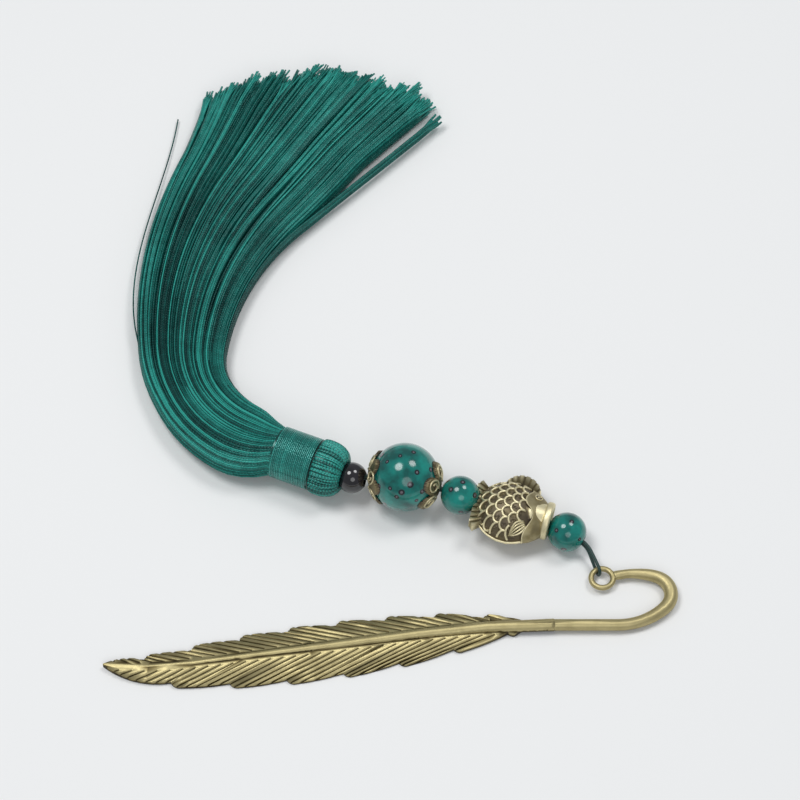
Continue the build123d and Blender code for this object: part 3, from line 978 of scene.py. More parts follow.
@dataclass
class Fish(Assembly):
    """Cast fish bead: the CAD body, its flanks sunk to the scales' floors, and what stands on them."""

    mouth: Place = (9.764, 21.364, 4.685)
    axis: Place = (-0.9539, 0.29346, 0.06288)
    droop: float = 4.5
    height: float = 14.0
    thickness: float = 9.6
    body_middle: float = 8.3
    flank_band: Pair = (0.34, 0.02)
    relief_height: float = 0.28
    lip_end: float = 1.9
    tail_start: float = 12.5
    tail_ray: float = 0.9
    fin_ray: float = 0.45
    ray_height: float = 0.3
    sunk_tone: float = 0.2
    plain_tone: float = 0.52
    proud_tone: float = 0.4
    head_tone: float = 0.53
    edge_tone: float = 0.95
    tuck_tone: float = 0.05
    fin_tone: float = 0.8
    scale_radius: float = 1.1
    scale_pitch: float = 1.5
    scale_start: float = 5.6
    scale_columns: int = 7
    scale_rows: int = 4
    scale_reach: float = 6.65
    scale_points: int = 6
    rim: float = 0.24
    rim_depth: float = 0.16
    keels: tuple[Pair, ...] = ((-2.55, -0.55), (0.55, 2.55))
    keel_inset: float = 0.15
    gill: tuple[Pair, ...] = (
        (-6.4, 5.0),
        (-3.4, 5.5),
        (-1.5, 5.5),
        (0.35, 4.45),
        (1.6, 3.8),
        (4.0, 4.2),
        (5.2, 4.8),
        (6.4, 4.6),
    )
    head: tuple[tuple[float, float, float], ...] = (
        (0.9, 3.2, 2.5),
        (2.0, 4.4, 3.0),
        (3.3, 5.5, 3.6),
        (5.0, 6.3, 4.25),
        (6.0, 6.7, 4.6),
    )
    head_girth: int = 96
    head_rows: int = 16
    head_tuck: tuple[Pair, ...] = ((1.04, 0.97), (1.08, 0.9))
    head_spread: float = 6.3
    eye: Pair = (3.3, -3.3)
    eye_rings: tuple[tuple[float, ...], ...] = (
        (0.68, 0.13, 0.04, 0.95),
        (0.43, 0.14, -0.06, 0.0),
        (0.15, 0.2, 0.02, 0.8),
    )
    fin_root: Pair = (4.9, 3.5)
    fin_tip: Pair = (7.5, 6.0)
    fin_rays: int = 5
    fin_pitch: float = 0.42
    fin_fan: Pair = (0.16, 0.74)
    fin_shortening: float = 0.06
    fin_lift: float = 0.12
    fin_arch: float = 0.34
    fin_girth: float = 0.27
    fin_taper: float = 0.13
    fin_clear: float = 1.5

    def __post_init__(self) -> None:
        """Work out the fish's own directions: to the tail, to the belly and out of the upper flank."""
        tail = Vector(self.axis)
        tail.rotate(Matrix.Rotation(math.radians(self.droop), 3, "Z"))
        flank = Vector((0, 0, 1)) - tail * tail.z
        flank.normalize()
        self.ways = np.array([tail, flank.cross(tail), flank])
        self.radius = ((self.height / 2) ** 2 + (self.thickness / 2) ** 2) / self.thickness
        self.inset = self.radius - self.thickness / 2
        belly, back = np.array(self.gill).T
        self.gill_line = np.polyfit(belly, back, 5)

    def place(self, u: np.ndarray, v: np.ndarray, w: np.ndarray) -> np.ndarray:
        """Points in the frame of the part.

        Args:
            u: Distances from the mouth to the tail.
            v: Distances from the axis to the belly.
            w: Distances out of the upper flank.

        Returns:
            Points in millimetres, one row each.
        """
        return np.array(self.mouth) + np.column_stack((u, v, w)) @ self.ways

    def flank(self, u: np.ndarray, v: np.ndarray, depth: float) -> np.ndarray:
        """Level of the flank.

        Args:
            u: Distances from the mouth.
            v: Distances to the belly.
            depth: Depth under the flank's face.

        Returns:
            Distances out of the middle plane.
        """
        square = (self.radius - depth) ** 2 - (u - self.body_middle) ** 2 - v**2
        return np.sqrt(np.maximum(square, 0.0)) - self.inset

    def gill_edge(self, v: np.ndarray) -> np.ndarray:
        """Distance from the mouth to the back edge of the gill plate."""
        return np.polyval(self.gill_line, np.clip(v, self.gill[0][0], self.gill[-1][0]))

    def head_size(self, u: np.ndarray) -> tuple[np.ndarray, np.ndarray, np.ndarray]:
        """Half height, half thickness and fullness of the head.

        Args:
            u: Distances from the mouth.

        Returns:
            The three values at each distance.
        """
        places, heights, widths = np.array(self.head).T
        share = np.clip((u - places[0]) / (places[-2] - places[0]), 0.0, 1.0)
        return np.interp(u, places, heights), np.interp(u, places, widths), 2 - 0.5 * share

    def build(self) -> None:
        """Build every piece of the fish."""
        piece = self.kit.copy_node("fish_bead", "cast_fish")
        self.sink_flanks(piece)
        smooth(piece, 30.0)
        self.kit.hand_in(piece, Body.FISH, Shade.GREY_BRONZE, "fish_bead")
        self.kit.hand_in(self.build_head(), Body.FISH, Shade.GREY_BRONZE)
        tubes = Tubes(sides=6)
        for name, paths, radii, relief in (self.scales(), self.eyes(), self.side_fins()):
            piece = tubes.build(name, paths, radii)
            counts = [tubes.sides * len(path) for path in paths]
            set_values(piece, Mark.RELIEF, np.repeat(relief, counts))
            self.kit.hand_in(piece, Body.FISH, Shade.GREY_BRONZE)

    def sink_flanks(self, piece: Piece) -> None:
        """Sink the flanks of the CAD copy to the floors of the scales, and store its relief.

        Args:
            piece: The copy of the fish.
        """
        local = (points_of(piece) - np.array(self.mouth)) @ self.ways.T
        side = np.where(local[:, 2] < 0, -1.0, 1.0)
        centre = np.outer(side, (0.0, 0.0, -self.inset)) + np.array([self.body_middle, 0.0, 0.0])
        reach = np.linalg.norm(local - centre, axis=1)
        inner, outer = self.flank_band
        on_flank = (reach > self.radius - inner) & (reach < self.radius + outer)
        sunk = centre + (local - centre) * ((self.radius - self.relief_height) / reach)[:, None]
        local = np.where(on_flank[:, None], sunk, local)
        piece.data.vertices.foreach_set("co", (self.place(*local.T) * MM).ravel())
        piece.data.update()
        u, _, w = local.T
        ray = np.where(u > self.tail_start, self.tail_ray, self.fin_ray)
        proud = np.clip((np.abs(w) - ray) / self.ray_height, 0.0, 1.0)
        proud = np.where(u < self.lip_end, 0.9, proud)
        tone = self.plain_tone + self.proud_tone * proud
        set_values(piece, Mark.RELIEF, np.where(on_flank, self.sunk_tone, tone))

    def build_head(self) -> Piece:
        """Loft the smooth head from the lips to the edge of the gill plates.

        Returns:
            The head, with its back end inside the body.
        """
        around = np.arange(self.head_girth) * 2 * math.pi / self.head_girth
        lean, rise = np.cos(around), np.sin(around)
        nose = self.head[0][0]
        back = self.gill_edge(self.head_spread * lean)
        plain = [(row / self.head_rows, 1.0) for row in range(self.head_rows + 1)]
        rows = []
        for share, scale in (*plain, *self.head_tuck):
            u = nose + share * (back - nose)
            high, wide, full = self.head_size(u)
            v = scale * high * np.sign(lean) * np.abs(lean) ** (2 / full)
            w = scale * wide * np.sign(rise) * np.abs(rise) ** (2 / full)
            rows.append(self.place(u, v, w))
        faces = tube_faces(self.head_girth, len(rows))
        piece = mesh_piece("fish_head", np.vstack(rows), faces)
        turn_outwards(piece)
        smooth(piece, 35.0)
        relief = [self.head_tone] * self.head_rows + [self.edge_tone]
        relief += [self.tuck_tone] * len(self.head_tuck)
        set_values(piece, Mark.RELIEF, np.repeat(relief, self.head_girth))
        return piece

    def scales(self) -> tuple[str, list[np.ndarray], list[float], list[float]]:
        """Raised rims of the scales on both flanks, and the keels between the flanks.

        Returns:
            A name, centre lines, radii and reliefs.
        """
        turn = np.linspace(-math.pi / 2, math.pi / 2, 17)
        leg = np.linspace(self.scale_pitch - self.scale_radius, 0.0, 4, endpoint=False)
        shape_u = np.concatenate((-leg, self.scale_radius * np.cos(turn), -leg[::-1]))
        ends = np.full(len(leg), self.scale_radius)
        shape_v = np.concatenate((-ends, self.scale_radius * np.sin(turn), ends))
        fin = (np.array(self.fin_root) + np.array(self.fin_tip)) / 2
        paths = []
        for column in range(self.scale_columns):
            for row in range(-self.scale_rows, self.scale_rows + 1):
                u = self.scale_start + self.scale_pitch * column + shape_u
                v = self.scale_radius * (2 * row + column % 2) + shape_v
                shown = np.hypot(u - self.body_middle, v) < self.scale_reach
                shown &= np.hypot(u - fin[0], v - fin[1]) >= self.fin_clear
                shown &= u > self.gill_edge(v) - 0.1
                starts = np.count_nonzero(np.diff(shown.astype(int)) == 1)
                if shown.sum() < self.scale_points or starts > 1:
                    continue
                w = self.flank(u, v, self.rim_depth)
                paths += [self.place(u[shown], v[shown], side * w[shown]) for side in (1, -1)]
        reach = self.height / 2 - self.keel_inset
        for start, end in self.keels:
            turn = np.linspace(start, end, 40)
            u = self.body_middle + reach * np.cos(turn)
            paths.append(self.place(u, reach * np.sin(turn), 0 * turn))
        count = len(paths)
        return "fish_scale_rims", paths, [self.rim] * count, [self.edge_tone] * count

    def eyes(self) -> tuple[str, list[np.ndarray], list[float], list[float]]:
        """Ringed eyes on both sides of the head.

        Returns:
            A name, centre lines, radii and reliefs.
        """
        turn = np.linspace(0, 2 * math.pi, 25)
        paths, radii, relief = [], [], []
        for reach, wire, lift, shade in self.eye_rings:
            u = self.eye[0] + reach * np.cos(turn)
            v = self.eye[1] + reach * np.sin(turn)
            high, wide, full = self.head_size(u)
            w = wide * np.maximum(1 - np.abs(v / high) ** full, 0.0) ** (1 / full) + lift
            for side in (1, -1):
                paths.append(self.place(u, v, side * w))
                radii.append(wire)
                relief.append(shade)
        return "fish_eyes", paths, radii, relief

    def side_fins(self) -> tuple[str, list[np.ndarray], list[np.ndarray], list[float]]:
        """Ribbed fins behind the gill plates.

        Returns:
            A name, centre lines, tapering radii and reliefs.
        """
        root, tip = np.array(self.fin_root), np.array(self.fin_tip)
        along = (tip - root) / np.linalg.norm(tip - root)
        across = np.array([-along[1], along[0]])
        share = np.linspace(0, 1, 16)
        paths, radii = [], []
        for ray in range(self.fin_rays):
            off = ray - (self.fin_rays - 1) / 2
            fan = self.fin_fan[0] + self.fin_fan[1] * share
            spread = self.fin_pitch * off * np.sin(math.pi * fan)
            short = 1 - self.fin_shortening * abs(off)
            plan = root + np.outer(share * short, tip - root) + spread[:, None] * across
            u, v = plan.T
            arch = self.fin_lift + self.fin_arch * np.sin(math.pi * share)
            w = self.flank(u, v, self.relief_height) + arch
            for side in (1, -1):
                paths.append(self.place(u, v, side * w))
                radii.append(self.fin_girth - self.fin_taper * share)
        return "fish_side_fins", paths, radii, [self.fin_tone] * len(paths)


@dataclass
class Cord(Assembly):
    """Doubled cord, one leg above the other, folded round the eyelet's wire."""

    diameter: float = 0.66
    leg_offset: float = 0.46
    middle_line: tuple[Place, ...] = (
        (-32.397, 32.233, 5.7),
        (-29.533, 31.046, 5.7),
        (-18.991, 30.402, 6.9),
        (-11.889, 28.025, 6.113),
        (8.429, 21.775, 4.773),
        (9.533, 21.329, 4.627),
        (16.663, 17.537, 3.203),
    )
    loop: tuple[Place, ...] = (
        (18.36, 14.04, 2.74),
        (19.40, 11.58, 2.24),
        (19.08, 11.46, 0.12),
        (18.04, 13.90, 1.42),
    )
    length: float = 118.1

    def build(self) -> None:
        """Lay the cord as one smooth line."""
        upper = [(x, y, z + self.leg_offset) for x, y, z in self.middle_line]
        lower = [(x, y, z - self.leg_offset) for x, y, z in self.middle_line]
        route = upper + list(self.loop) + lower[::-1]
        curve = bpy.data.curves.new("doubled_cord", "CURVE")
        curve.dimensions = "3D"
        curve.bevel_depth = self.diameter / 2 * MM
        curve.bevel_resolution = 3
        curve.resolution_u = 8
        curve.use_fill_caps = True
        spline = curve.splines.new("NURBS")
        spline.points.add(len(route) - 1)
        for point, place in zip(spline.points, route):
            point.co = (*(value * MM for value in place), 1.0)
        spline.order_u = 3
        spline.use_endpoint_u = True
        piece = new_object("doubled_cord", curve)
        self.kit.hand_in(piece, Body.STRAND, Shade.CORD, "hanging_cord")
        tuple(value * MM for value in route[0])


@dataclass
class Tassel(Assembly):
    """Tassel above its skirt: head, tie and wound neck, on an axis from the dark bead's centre."""

    centre: Place = (-29.533, 31.046, 5.7)
    heading: float = 157.5
    dark_radius: float = 3.1
    head_sink: float = 1.3
    head_gap: float = 0.2
    head_rim: float = 0.3
    head_length: float = 5.5
    head_diameter: float = 11.3
    head_tuck: float = 0.15
    dimple_line: tuple[Pair, ...] = ((0.72, 0.9), (0.95, 0.35))
    dimple_floor: float = 1.6
    dome_share: float = 0.7
    dome_steps: int = 12
    side_share: float = 0.86
    tie_diameter: float = 0.4
    tie_gap: float = 0.02
    neck_length: float = 8.5
    core_diameter: float = 9.9
    core_hole: float = 0.05
    head_threads: int = 104
    head_thread: float = 0.21
    winding_turns: int = 22
    winding_gap: float = 0.1
    winding_girth: float = 0.56
    winding_sink: float = 0.8
    winding_points: int = 40

    def __post_init__(self) -> None:
        """Work out the axis, the stations along it and its place, in millimetres and in metres."""
        heading = math.radians(self.heading)
        self.axis = Vector((math.cos(heading), math.sin(heading), 0.0))
        self.head_start = self.dark_radius - self.head_sink
        self.head_end = self.head_start + self.head_length
        self.neck_end = self.head_end + self.tie_diameter + self.neck_length
        self.place = aligned(Vector(self.centre), self.axis)
        self.seat = aligned(Vector(self.centre) * MM, self.axis)

    def build(self) -> None:
        """Build every piece of the tassel above its skirt."""
        self.build_core()
        self.build_head()
        self.build_tie()
        self.build_winding()

    def round_axis(self, reach: np.ndarray, around: np.ndarray, station: np.ndarray) -> np.ndarray:
        """Points round the axis.

        Args:
            reach: Distances from the axis.
            around: Angles round it.
            station: Distances along it.

        Returns:
            Points in millimetres, one row each.
        """
        return placed(self.place, reach * np.cos(around), reach * np.sin(around), station)

    def profile(self) -> list[Pair]:
        """Radius and station of points down the head, from the dimple to the tie.

        Returns:
            Pairs of radius and station in millimetres.
        """
        dimple = self.dark_radius + self.head_gap
        rim = math.sqrt(dimple**2 - self.head_start**2)
        radius = self.head_diameter / 2
        pairs = [(rim * share, self.head_start + depth) for share, depth in self.dimple_line]
        for step in range(self.dome_steps + 1):
            angle = math.pi / 2 * step / self.dome_steps
            reach = rim + self.head_rim + (radius - rim - self.head_rim) * math.sin(angle)
            drop = self.head_length * self.dome_share * (1 - math.cos(angle))
            pairs.append((reach, self.head_start + drop))
        pairs.append((radius, self.head_start + self.head_length * self.side_share))
        pairs.append((radius - self.head_tuck, self.head_end))
        return pairs

    def build_core(self) -> None:
        """Spin the bundle under the threads, with the knot inside it."""
        core = self.core_diameter / 2
        line = [(self.core_hole, self.head_start + self.dimple_floor)]
        line += [(radius - self.head_thread, station) for radius, station in self.profile()]
        line += [(core, self.head_end + 0.05), (core, self.neck_end), (self.core_hole, self.neck_end)]
        points = np.array([(radius, 0.0, station) for radius, station in line])
        piece = mesh_piece("thread_bundle", points, [(k, k + 1) for k in range(len(line) - 1)])
        edit_all(piece)
        bpy.ops.mesh.spin(steps=72, angle=2 * math.pi, center=(0, 0, 0), axis=(0, 0, 1))
        bpy.ops.mesh.select_all(action="SELECT")
        bpy.ops.mesh.remove_doubles(threshold=0.00008)
        turn_outwards(piece)
        smooth(piece, 40.0)
        settle(piece, self.seat)
        set_values(piece, Mark.TONE, 0.4)
        self.kit.hand_in(piece, Body.TASSEL, Shade.HEAD, "tassel_head", "cord_knot")

    def build_head(self) -> None:
        """Lay the folded threads of the head side by side over its dome."""
        rng = random.Random(11)
        reaches, stations = np.array(self.profile()).T
        share = np.linspace(0, 1, len(reaches))
        paths, radii, tones = [], [], []
        for thread in range(self.head_threads):
            start = 2 * math.pi * (thread + rng.uniform(-0.3, 0.3)) / self.head_threads
            drift = rng.uniform(-0.05, 0.05)
            around = start + drift * share + 0.012 * np.sin(share * 7 + thread)
            reach = reaches - self.head_thread * rng.uniform(0.6, 1.0)
            paths.append(self.round_axis(reach, around, stations))
            radii.append(self.head_thread * rng.uniform(0.85, 1.1))
            tones.append(min(max(rng.gauss(0.56, 0.24), 0.05), 0.98))
        piece = Tubes(sides=6).build("head_threads", paths, radii, tones)
        self.kit.hand_in(piece, Body.TASSEL, Shade.HEAD)

    def build_tie(self) -> None:
        """Tie the head off with one dark ring of thread."""
        deselect_all()
        bpy.ops.mesh.primitive_torus_add(
            major_radius=(self.core_diameter + self.tie_diameter) / 2 * MM,
            minor_radius=(self.tie_diameter / 2 - self.tie_gap) * MM,
            major_segments=96,
            minor_segments=10,
        )
        piece = bpy.context.object
        piece.name = "tie_ring"
        bpy.ops.object.mode_set(mode="EDIT")
        bpy.ops.mesh.select_all(action="SELECT")
        bpy.ops.transform.translate(value=(0, 0, (self.head_end + self.tie_diameter / 2) * MM))
        bpy.ops.object.mode_set(mode="OBJECT")
        bpy.ops.object.shade_smooth()
        settle(piece, self.seat)
        set_values(piece, Mark.TONE, 0.3)
        self.kit.hand_in(piece, Body.TASSEL, Shade.TIE, "tie_thread")

    def build_winding(self) -> None:
        """Wind one thread round the neck in close turns."""
        pitch = (self.neck_length - self.winding_gap) / (self.winding_turns + 1)
        radius = pitch * self.winding_girth
        turn = np.linspace(0, self.winding_turns, self.winding_turns * self.winding_points + 1)
        reach = self.core_diameter / 2 + radius * self.winding_sink
        station = self.head_end + self.tie_diameter + pitch * (turn + 0.5)
        rng = np.random.default_rng(3)
        marks = np.arange(self.winding_turns + 1)
        tones = np.interp(turn, marks, rng.uniform(0.36, 0.68, len(marks)))
        path = self.round_axis(reach, 2 * math.pi * turn, station)
        piece = Tubes(sides=8).build("neck_wrap", [path], [radius], [tones])
        self.kit.hand_in(piece, Body.TASSEL, Shade.NECK, "neck_winding")


@dataclass(frozen=True)
class Lock:
    """Threads of the skirt that cling together, from its top to its underside."""

    middle: float
    pull: float
    cut: float
    sway: float
    phase: float
    lift: float
    shade: float


@dataclass(frozen=True)
class Layer:
    """Threads of the skirt between two levels, in one piece."""

    name: str
    low: float
    high: float
    to_a_lock: int
    girth: float = 1.0
    nodes: tuple[str, ...] = ()


@dataclass
class Skirt(Assembly):
    """Loose threads of the tassel, fanned out along a bend to a ragged cut."""

    start: Pair = (-44.5, 37.246)
    start_height: float = 5.7
    gap: float = 0.12
    heading: float = 157.5
    lead: float = 3.0
    first_radius: float = 27.5
    first_turn: float = 67.5
    second_radius: float = 74.0
    second_turn: float = 33.0
    tail: float = 24.5
    overhang: float = 18.0
    start_diameter: float = 10.2
    shoulder_distance: float = 9.0
    shoulder_width: float = 16.2
    flare_start: float = 24.0
    end_width: float = 43.0
    flare_power: float = 1.3
    end_thickness: float = 4.8
    settle_distance: float = 40.0
    cut_radius: float = 42.3
    cut_back: float = 24.4
    cut_aside: float = 19.4
    cut_trim: float = 3.4
    thread: float = 0.165
    lock_count: int = 46
    overlap: float = 1.3
    cling: float = 0.5
    lock_cut: float = 1.3
    lock_sway: float = 0.03
    lock_lift: Pair = (-0.3, 0.1)
    lock_shade: float = 0.16
    ragged: float = 0.6
    stir: float = 0.012
    fray: float = 0.03
    girths: Pair = (0.85, 1.12)
    own_shade: float = 0.2
    tip_shade: float = 0.25
    pull_left: float = -0.13
    pull_right: float = 0.12
    valley: float = 0.45
    layers: tuple[Layer, ...] = (
        Layer("skirt_threads_low", -1.0, -0.2, 6),
        Layer("skirt_threads_mid", -0.2, 0.62, 8),
        Layer("skirt_threads_top", 0.66, 1.0, 9, nodes=("tassel_skirt",)),
        Layer("skirt_threads_crown", 0.8, 1.0, 10, girth=0.72),
    )
    stray: tuple[Place, ...] = (
        (-71.8, 60.0, 3.6),
        (-74.6, 70.7, 3.0),
        (-74.9, 79.8, 2.4),
        (-74.15, 89.1, 1.9),
        (-72.47, 98.4, 1.4),
        (-69.77, 110.4, 1.0),
        (-67.5, 124.2, 0.8),
    )
    stray_drift: float = 0.0
    stray_opening: Pair = (0.4, 1.0)
    stray_girths: Pair = (0.8, 1.0)
    stray_tones: Pair = (0.1, 0.6)
    bend_start: float = -2.0
    bend_end: float = 55.0
    bend_stations: int = 26
    stations: int = 46
    loose_start: float = 16.0
    loose_run: float = 60.0
    part_start: float = 62.0
    part_run: float = 34.0
    tip: float = 6.0
    sway_pitch: float = 19.0
    lift_pitch: float = 23.0
    thickening: float = 0.45
    search_start: float = 40.0
    search_points: int = 400
    seed: int = 5
    tone_places: tuple[float, ...] = (0.0, 18.0, 40.0, 65.0, 95.0)
    own_tone: tuple[float, ...] = (1.0, 1.2, 1.1, 0.65, 0.45)
    # How strongly the locks' random tones differ along the bend; stronger in the bend, partly as
    # painted shade in the troughs between locks and painted highlight on the tufts.
    lock_tone: tuple[float, ...] = (0.5, 1.9, 1.7, 0.9, 0.7)
    # Tone along the bend: darker in the bend as painted shade, lighter near the neck as painted light,
    # and lighter again toward the cut.
    painted_shade_tone: tuple[float, ...] = (0.58, 0.40, 0.34, 0.40, 0.56)

    def __post_init__(self) -> None:
        """Work out the length and the cut's middle."""
        self.length = (
            self.lead
            + self.first_radius * math.radians(self.first_turn)
            + self.second_radius * math.radians(self.second_turn)
            + self.tail
            + self.overhang
        )
        end, way = self.line(np.array([self.length]))
        left = np.array([-way[0, 1], way[0, 0]])
        self.cut_middle = end[0] - way[0] * (self.overhang + self.cut_back) - left * self.cut_aside
        self.cut_way = way[0]

    def line(self, along: np.ndarray) -> tuple[np.ndarray, np.ndarray]:
        """Centre line in plan.

        Args:
            along: Distances along the bend in millimetres.

        Returns:
            Points and directions, one row each.
        """
        heading = math.radians(self.heading)
        point = np.array(self.start)
        points = np.zeros((len(along), 2))
        ways = np.zeros((len(along), 2))
        begun = 0.0
        runs = (
            (self.lead, None),
            (self.first_radius * math.radians(self.first_turn), self.first_radius),
            (self.second_radius * math.radians(self.second_turn), self.second_radius),
            (self.tail + self.overhang, None),
        )
        for index, (length, radius) in enumerate(runs):
            first, last = index == 0, index == len(runs) - 1
            here = (first | (along >= begun)) & (last | (along < begun + length))
            done = along[here] - begun
            if radius is None:
                angle = np.full(len(done), heading)
                way = np.array([math.cos(heading), math.sin(heading)])
                points[here] = point + done[:, None] * way
                point = point + length * way
            else:
                angle = heading - done / radius
                middle = point + radius * np.array([math.sin(heading), -math.cos(heading)])
                points[here] = middle + radius * np.column_stack((-np.sin(angle), np.cos(angle)))
                heading -= length / radius
                point = middle + radius * np.array([-math.sin(heading), math.cos(heading)])
            ways[here] = np.column_stack((np.cos(angle), np.sin(angle)))
            begun += length
        return points, ways

    def width(self, along: np.ndarray) -> np.ndarray:
        """Width of the skirt along its bend.

        Args:
            along: Distances along the bend in millimetres.

        Returns:
            The widths in millimetres.
        """
        swelling = np.sin(np.clip(along / self.shoulder_distance, 0.0, 1.0) * math.pi / 2)
        flare_run = self.length - self.overhang - self.flare_start
        flare = np.clip((along - self.flare_start) / flare_run, 0.0, None)
        grown = (self.shoulder_width - self.start_diameter) * swelling
        fanned = (self.end_width - self.shoulder_width) * flare**self.flare_power
        return self.start_diameter + grown + fanned

    def thickness(self, along: np.ndarray) -> np.ndarray:
        """Thickness of the skirt along its bend.

        Args:
            along: Distances along the bend in millimetres.

        Returns:
            The thicknesses in millimetres.
        """
        share = np.clip(1 - along / self.settle_distance, 0.0, 1.0)
        return self.end_thickness + (self.start_diameter - self.end_thickness) * share**2

    def place(self, along: np.ndarray, aside: np.ndarray, level: np.ndarray) -> np.ndarray:
        """Points inside the skirt.

        Args:
            along: Distances along the bend.
            aside: Shares of the half width, positive to the left.
            level: Shares of the half thickness, positive up.

        Returns:
            Points in millimetres, one row each.
        """
        points, ways = self.line(along)
        left = np.column_stack((-ways[:, 1], ways[:, 0]))
        room = 2 * self.thread
        width = self.width(along) - room
        thick = self.thickness(along)
        square = 2 + 3 * np.clip(along / self.settle_distance, 0.0, 1.0)
        within = np.clip(np.abs(aside), 0.0, 0.999)
        height = (1 - within**square) ** (1 / square) * (thick - room) / 2
        drop = np.clip(1 - along / self.shoulder_distance, 0.0, 1.0)
        middle = self.gap + np.maximum(thick / 2, (self.start_height - self.gap) * drop)
        plan = points + left * (aside * width / 2)[:, None]
        return np.column_stack((plan, middle + level * height))

    def end_of(self, aside: float, level: float) -> float:
        """Distance along the bend at which a thread meets the cut.

        Args:
            aside: The thread's share of the half width.
            level: The thread's share of the half thickness.

        Returns:
            The distance in millimetres.
        """
        along = np.linspace(self.search_start, self.length, self.search_points)
        points = self.place(along, np.full_like(along, aside), np.full_like(along, level))
        away = points[:, :2] - self.cut_middle
        out = (np.linalg.norm(away, axis=1) > self.cut_radius) & (away @ self.cut_way > 0)
        return float(along[np.argmax(out)]) if out.any() else self.length

    def gather_locks(self, rng: random.Random) -> Iterable[Lock]:
        """Draw the locks, from the right edge to the left.

        Args:
            rng: The source of random draws.

        Returns:
            The locks, one by one.
        """
        for index in range(self.lock_count):
            middle = -1 + 2 * (index + 0.5) / self.lock_count
            pull = self.pull_right if middle < 0 else self.pull_left
            yield Lock(
                middle=middle,
                pull=0.0 if index == 0 else pull,
                cut=rng.gauss(0.0, self.lock_cut) - self.cut_trim,
                sway=rng.uniform(-self.lock_sway, self.lock_sway),
                phase=rng.uniform(0, 6.28),
                lift=rng.uniform(*self.lock_lift),
                shade=rng.gauss(0.0, self.lock_shade),
            )

    def lay_thread(
        self, layer: Layer, lock: Lock, rng: random.Random
    ) -> tuple[np.ndarray, np.ndarray, np.ndarray]:
        """Lay one thread.

        Args:
            layer: The layer that it lies in.
            lock: The lock that it clings to.
            rng: The source of random draws.

        Returns:
            Its centre line, radii and tones.
        """
        aside = lock.middle + rng.uniform(-self.overlap, self.overlap) / self.lock_count
        level = rng.uniform(layer.low, layer.high)
        end = self.end_of(aside, level) + lock.cut + rng.gauss(0.0, self.ragged)
        bend = np.linspace(self.bend_start, self.bend_end, self.bend_stations, endpoint=False)
        rest = np.linspace(self.bend_end, end, self.stations - self.bend_stations)
        along = np.concatenate((bend, rest))
        late = np.clip((along - self.loose_start) / self.loose_run, 0.0, 1.0)
        apart = np.clip((along - self.part_start) / self.part_run, 0.0, 1.0)
        tip = np.clip((along - end + self.tip) / self.tip, 0.0, 1.0) ** 2
        off_middle = (aside - lock.middle) * self.lock_count / self.overlap
        valley = self.valley * late * off_middle**2
        gather = aside + (lock.middle - aside) * self.cling * late
        gather *= 1 - lock.pull * apart**2
        wave = lock.sway * late * np.sin(along / self.sway_pitch + lock.phase)
        wave += rng.uniform(-self.stir, self.stir) * late
        fray = rng.uniform(-self.fray, self.fray) * tip
        rise = lock.lift * late * np.sin(along / self.lift_pitch + lock.phase)
        height = np.clip(level + rise - valley, -1.0, 1.0)
        path = self.place(along, gather + wave + fray, height)
        girth = self.thread * layer.girth * rng.uniform(*self.girths)
        radii = girth * (1 + self.thickening * late**2)
        own = rng.gauss(0.0, self.own_shade) * np.interp(along, self.tone_places, self.own_tone)
        # The lock's random tone is made stronger in the bend, partly as painted shade in the troughs
        # between the locks and painted highlight on the tufts.
        shared = lock.shade * np.interp(along, self.tone_places, self.lock_tone)
        # Painted shade darkens the threads in the bend; near the neck they are lighter as painted
        # light.
        painted_shade = np.interp(along, self.tone_places, self.painted_shade_tone)
        tones = painted_shade + own + shared + self.tip_shade * tip
        return path, radii, np.clip(tones, 0.02, 0.98)

    def build(self) -> None:
        """Lay the threads, layer by layer, and the stray one."""
        rng = random.Random(self.seed)
        locks = list(self.gather_locks(rng))
        for layer in self.layers:
            threads = [
                self.lay_thread(layer, lock, rng) for lock in locks for _ in range(layer.to_a_lock)
            ]
            piece = Tubes().build(layer.name, *zip(*threads))
            self.kit.hand_in(piece, Body.TASSEL, Shade.SKIRT, *layer.nodes)
        self.build_stray()

    def build_stray(self) -> None:
        """Lay the thread that has slipped out of the bunch."""
        rng = random.Random(self.seed + 1)
        knots = np.array(self.stray)
        steps = np.linalg.norm(np.diff(knots, axis=0), axis=1)
        run = np.concatenate(([0.0], np.cumsum(steps)))
        along = np.linspace(0, run[-1], self.stations)
        path = np.column_stack([np.polyval(np.polyfit(run, column, 4), along) for column in knots.T])
        drift = [rng.uniform(-self.stray_drift, self.stray_drift) for _ in range(2)]
        path += np.outer(np.linspace(*self.stray_opening, self.stations), (*drift, 0.0))
        radius = self.thread * rng.uniform(*self.stray_girths)
        tone = rng.uniform(*self.stray_tones)
        piece = Tubes().build("skirt_strays", [path], [radius], [tone])
        self.kit.hand_in(piece, Body.TASSEL, Shade.SKIRT)


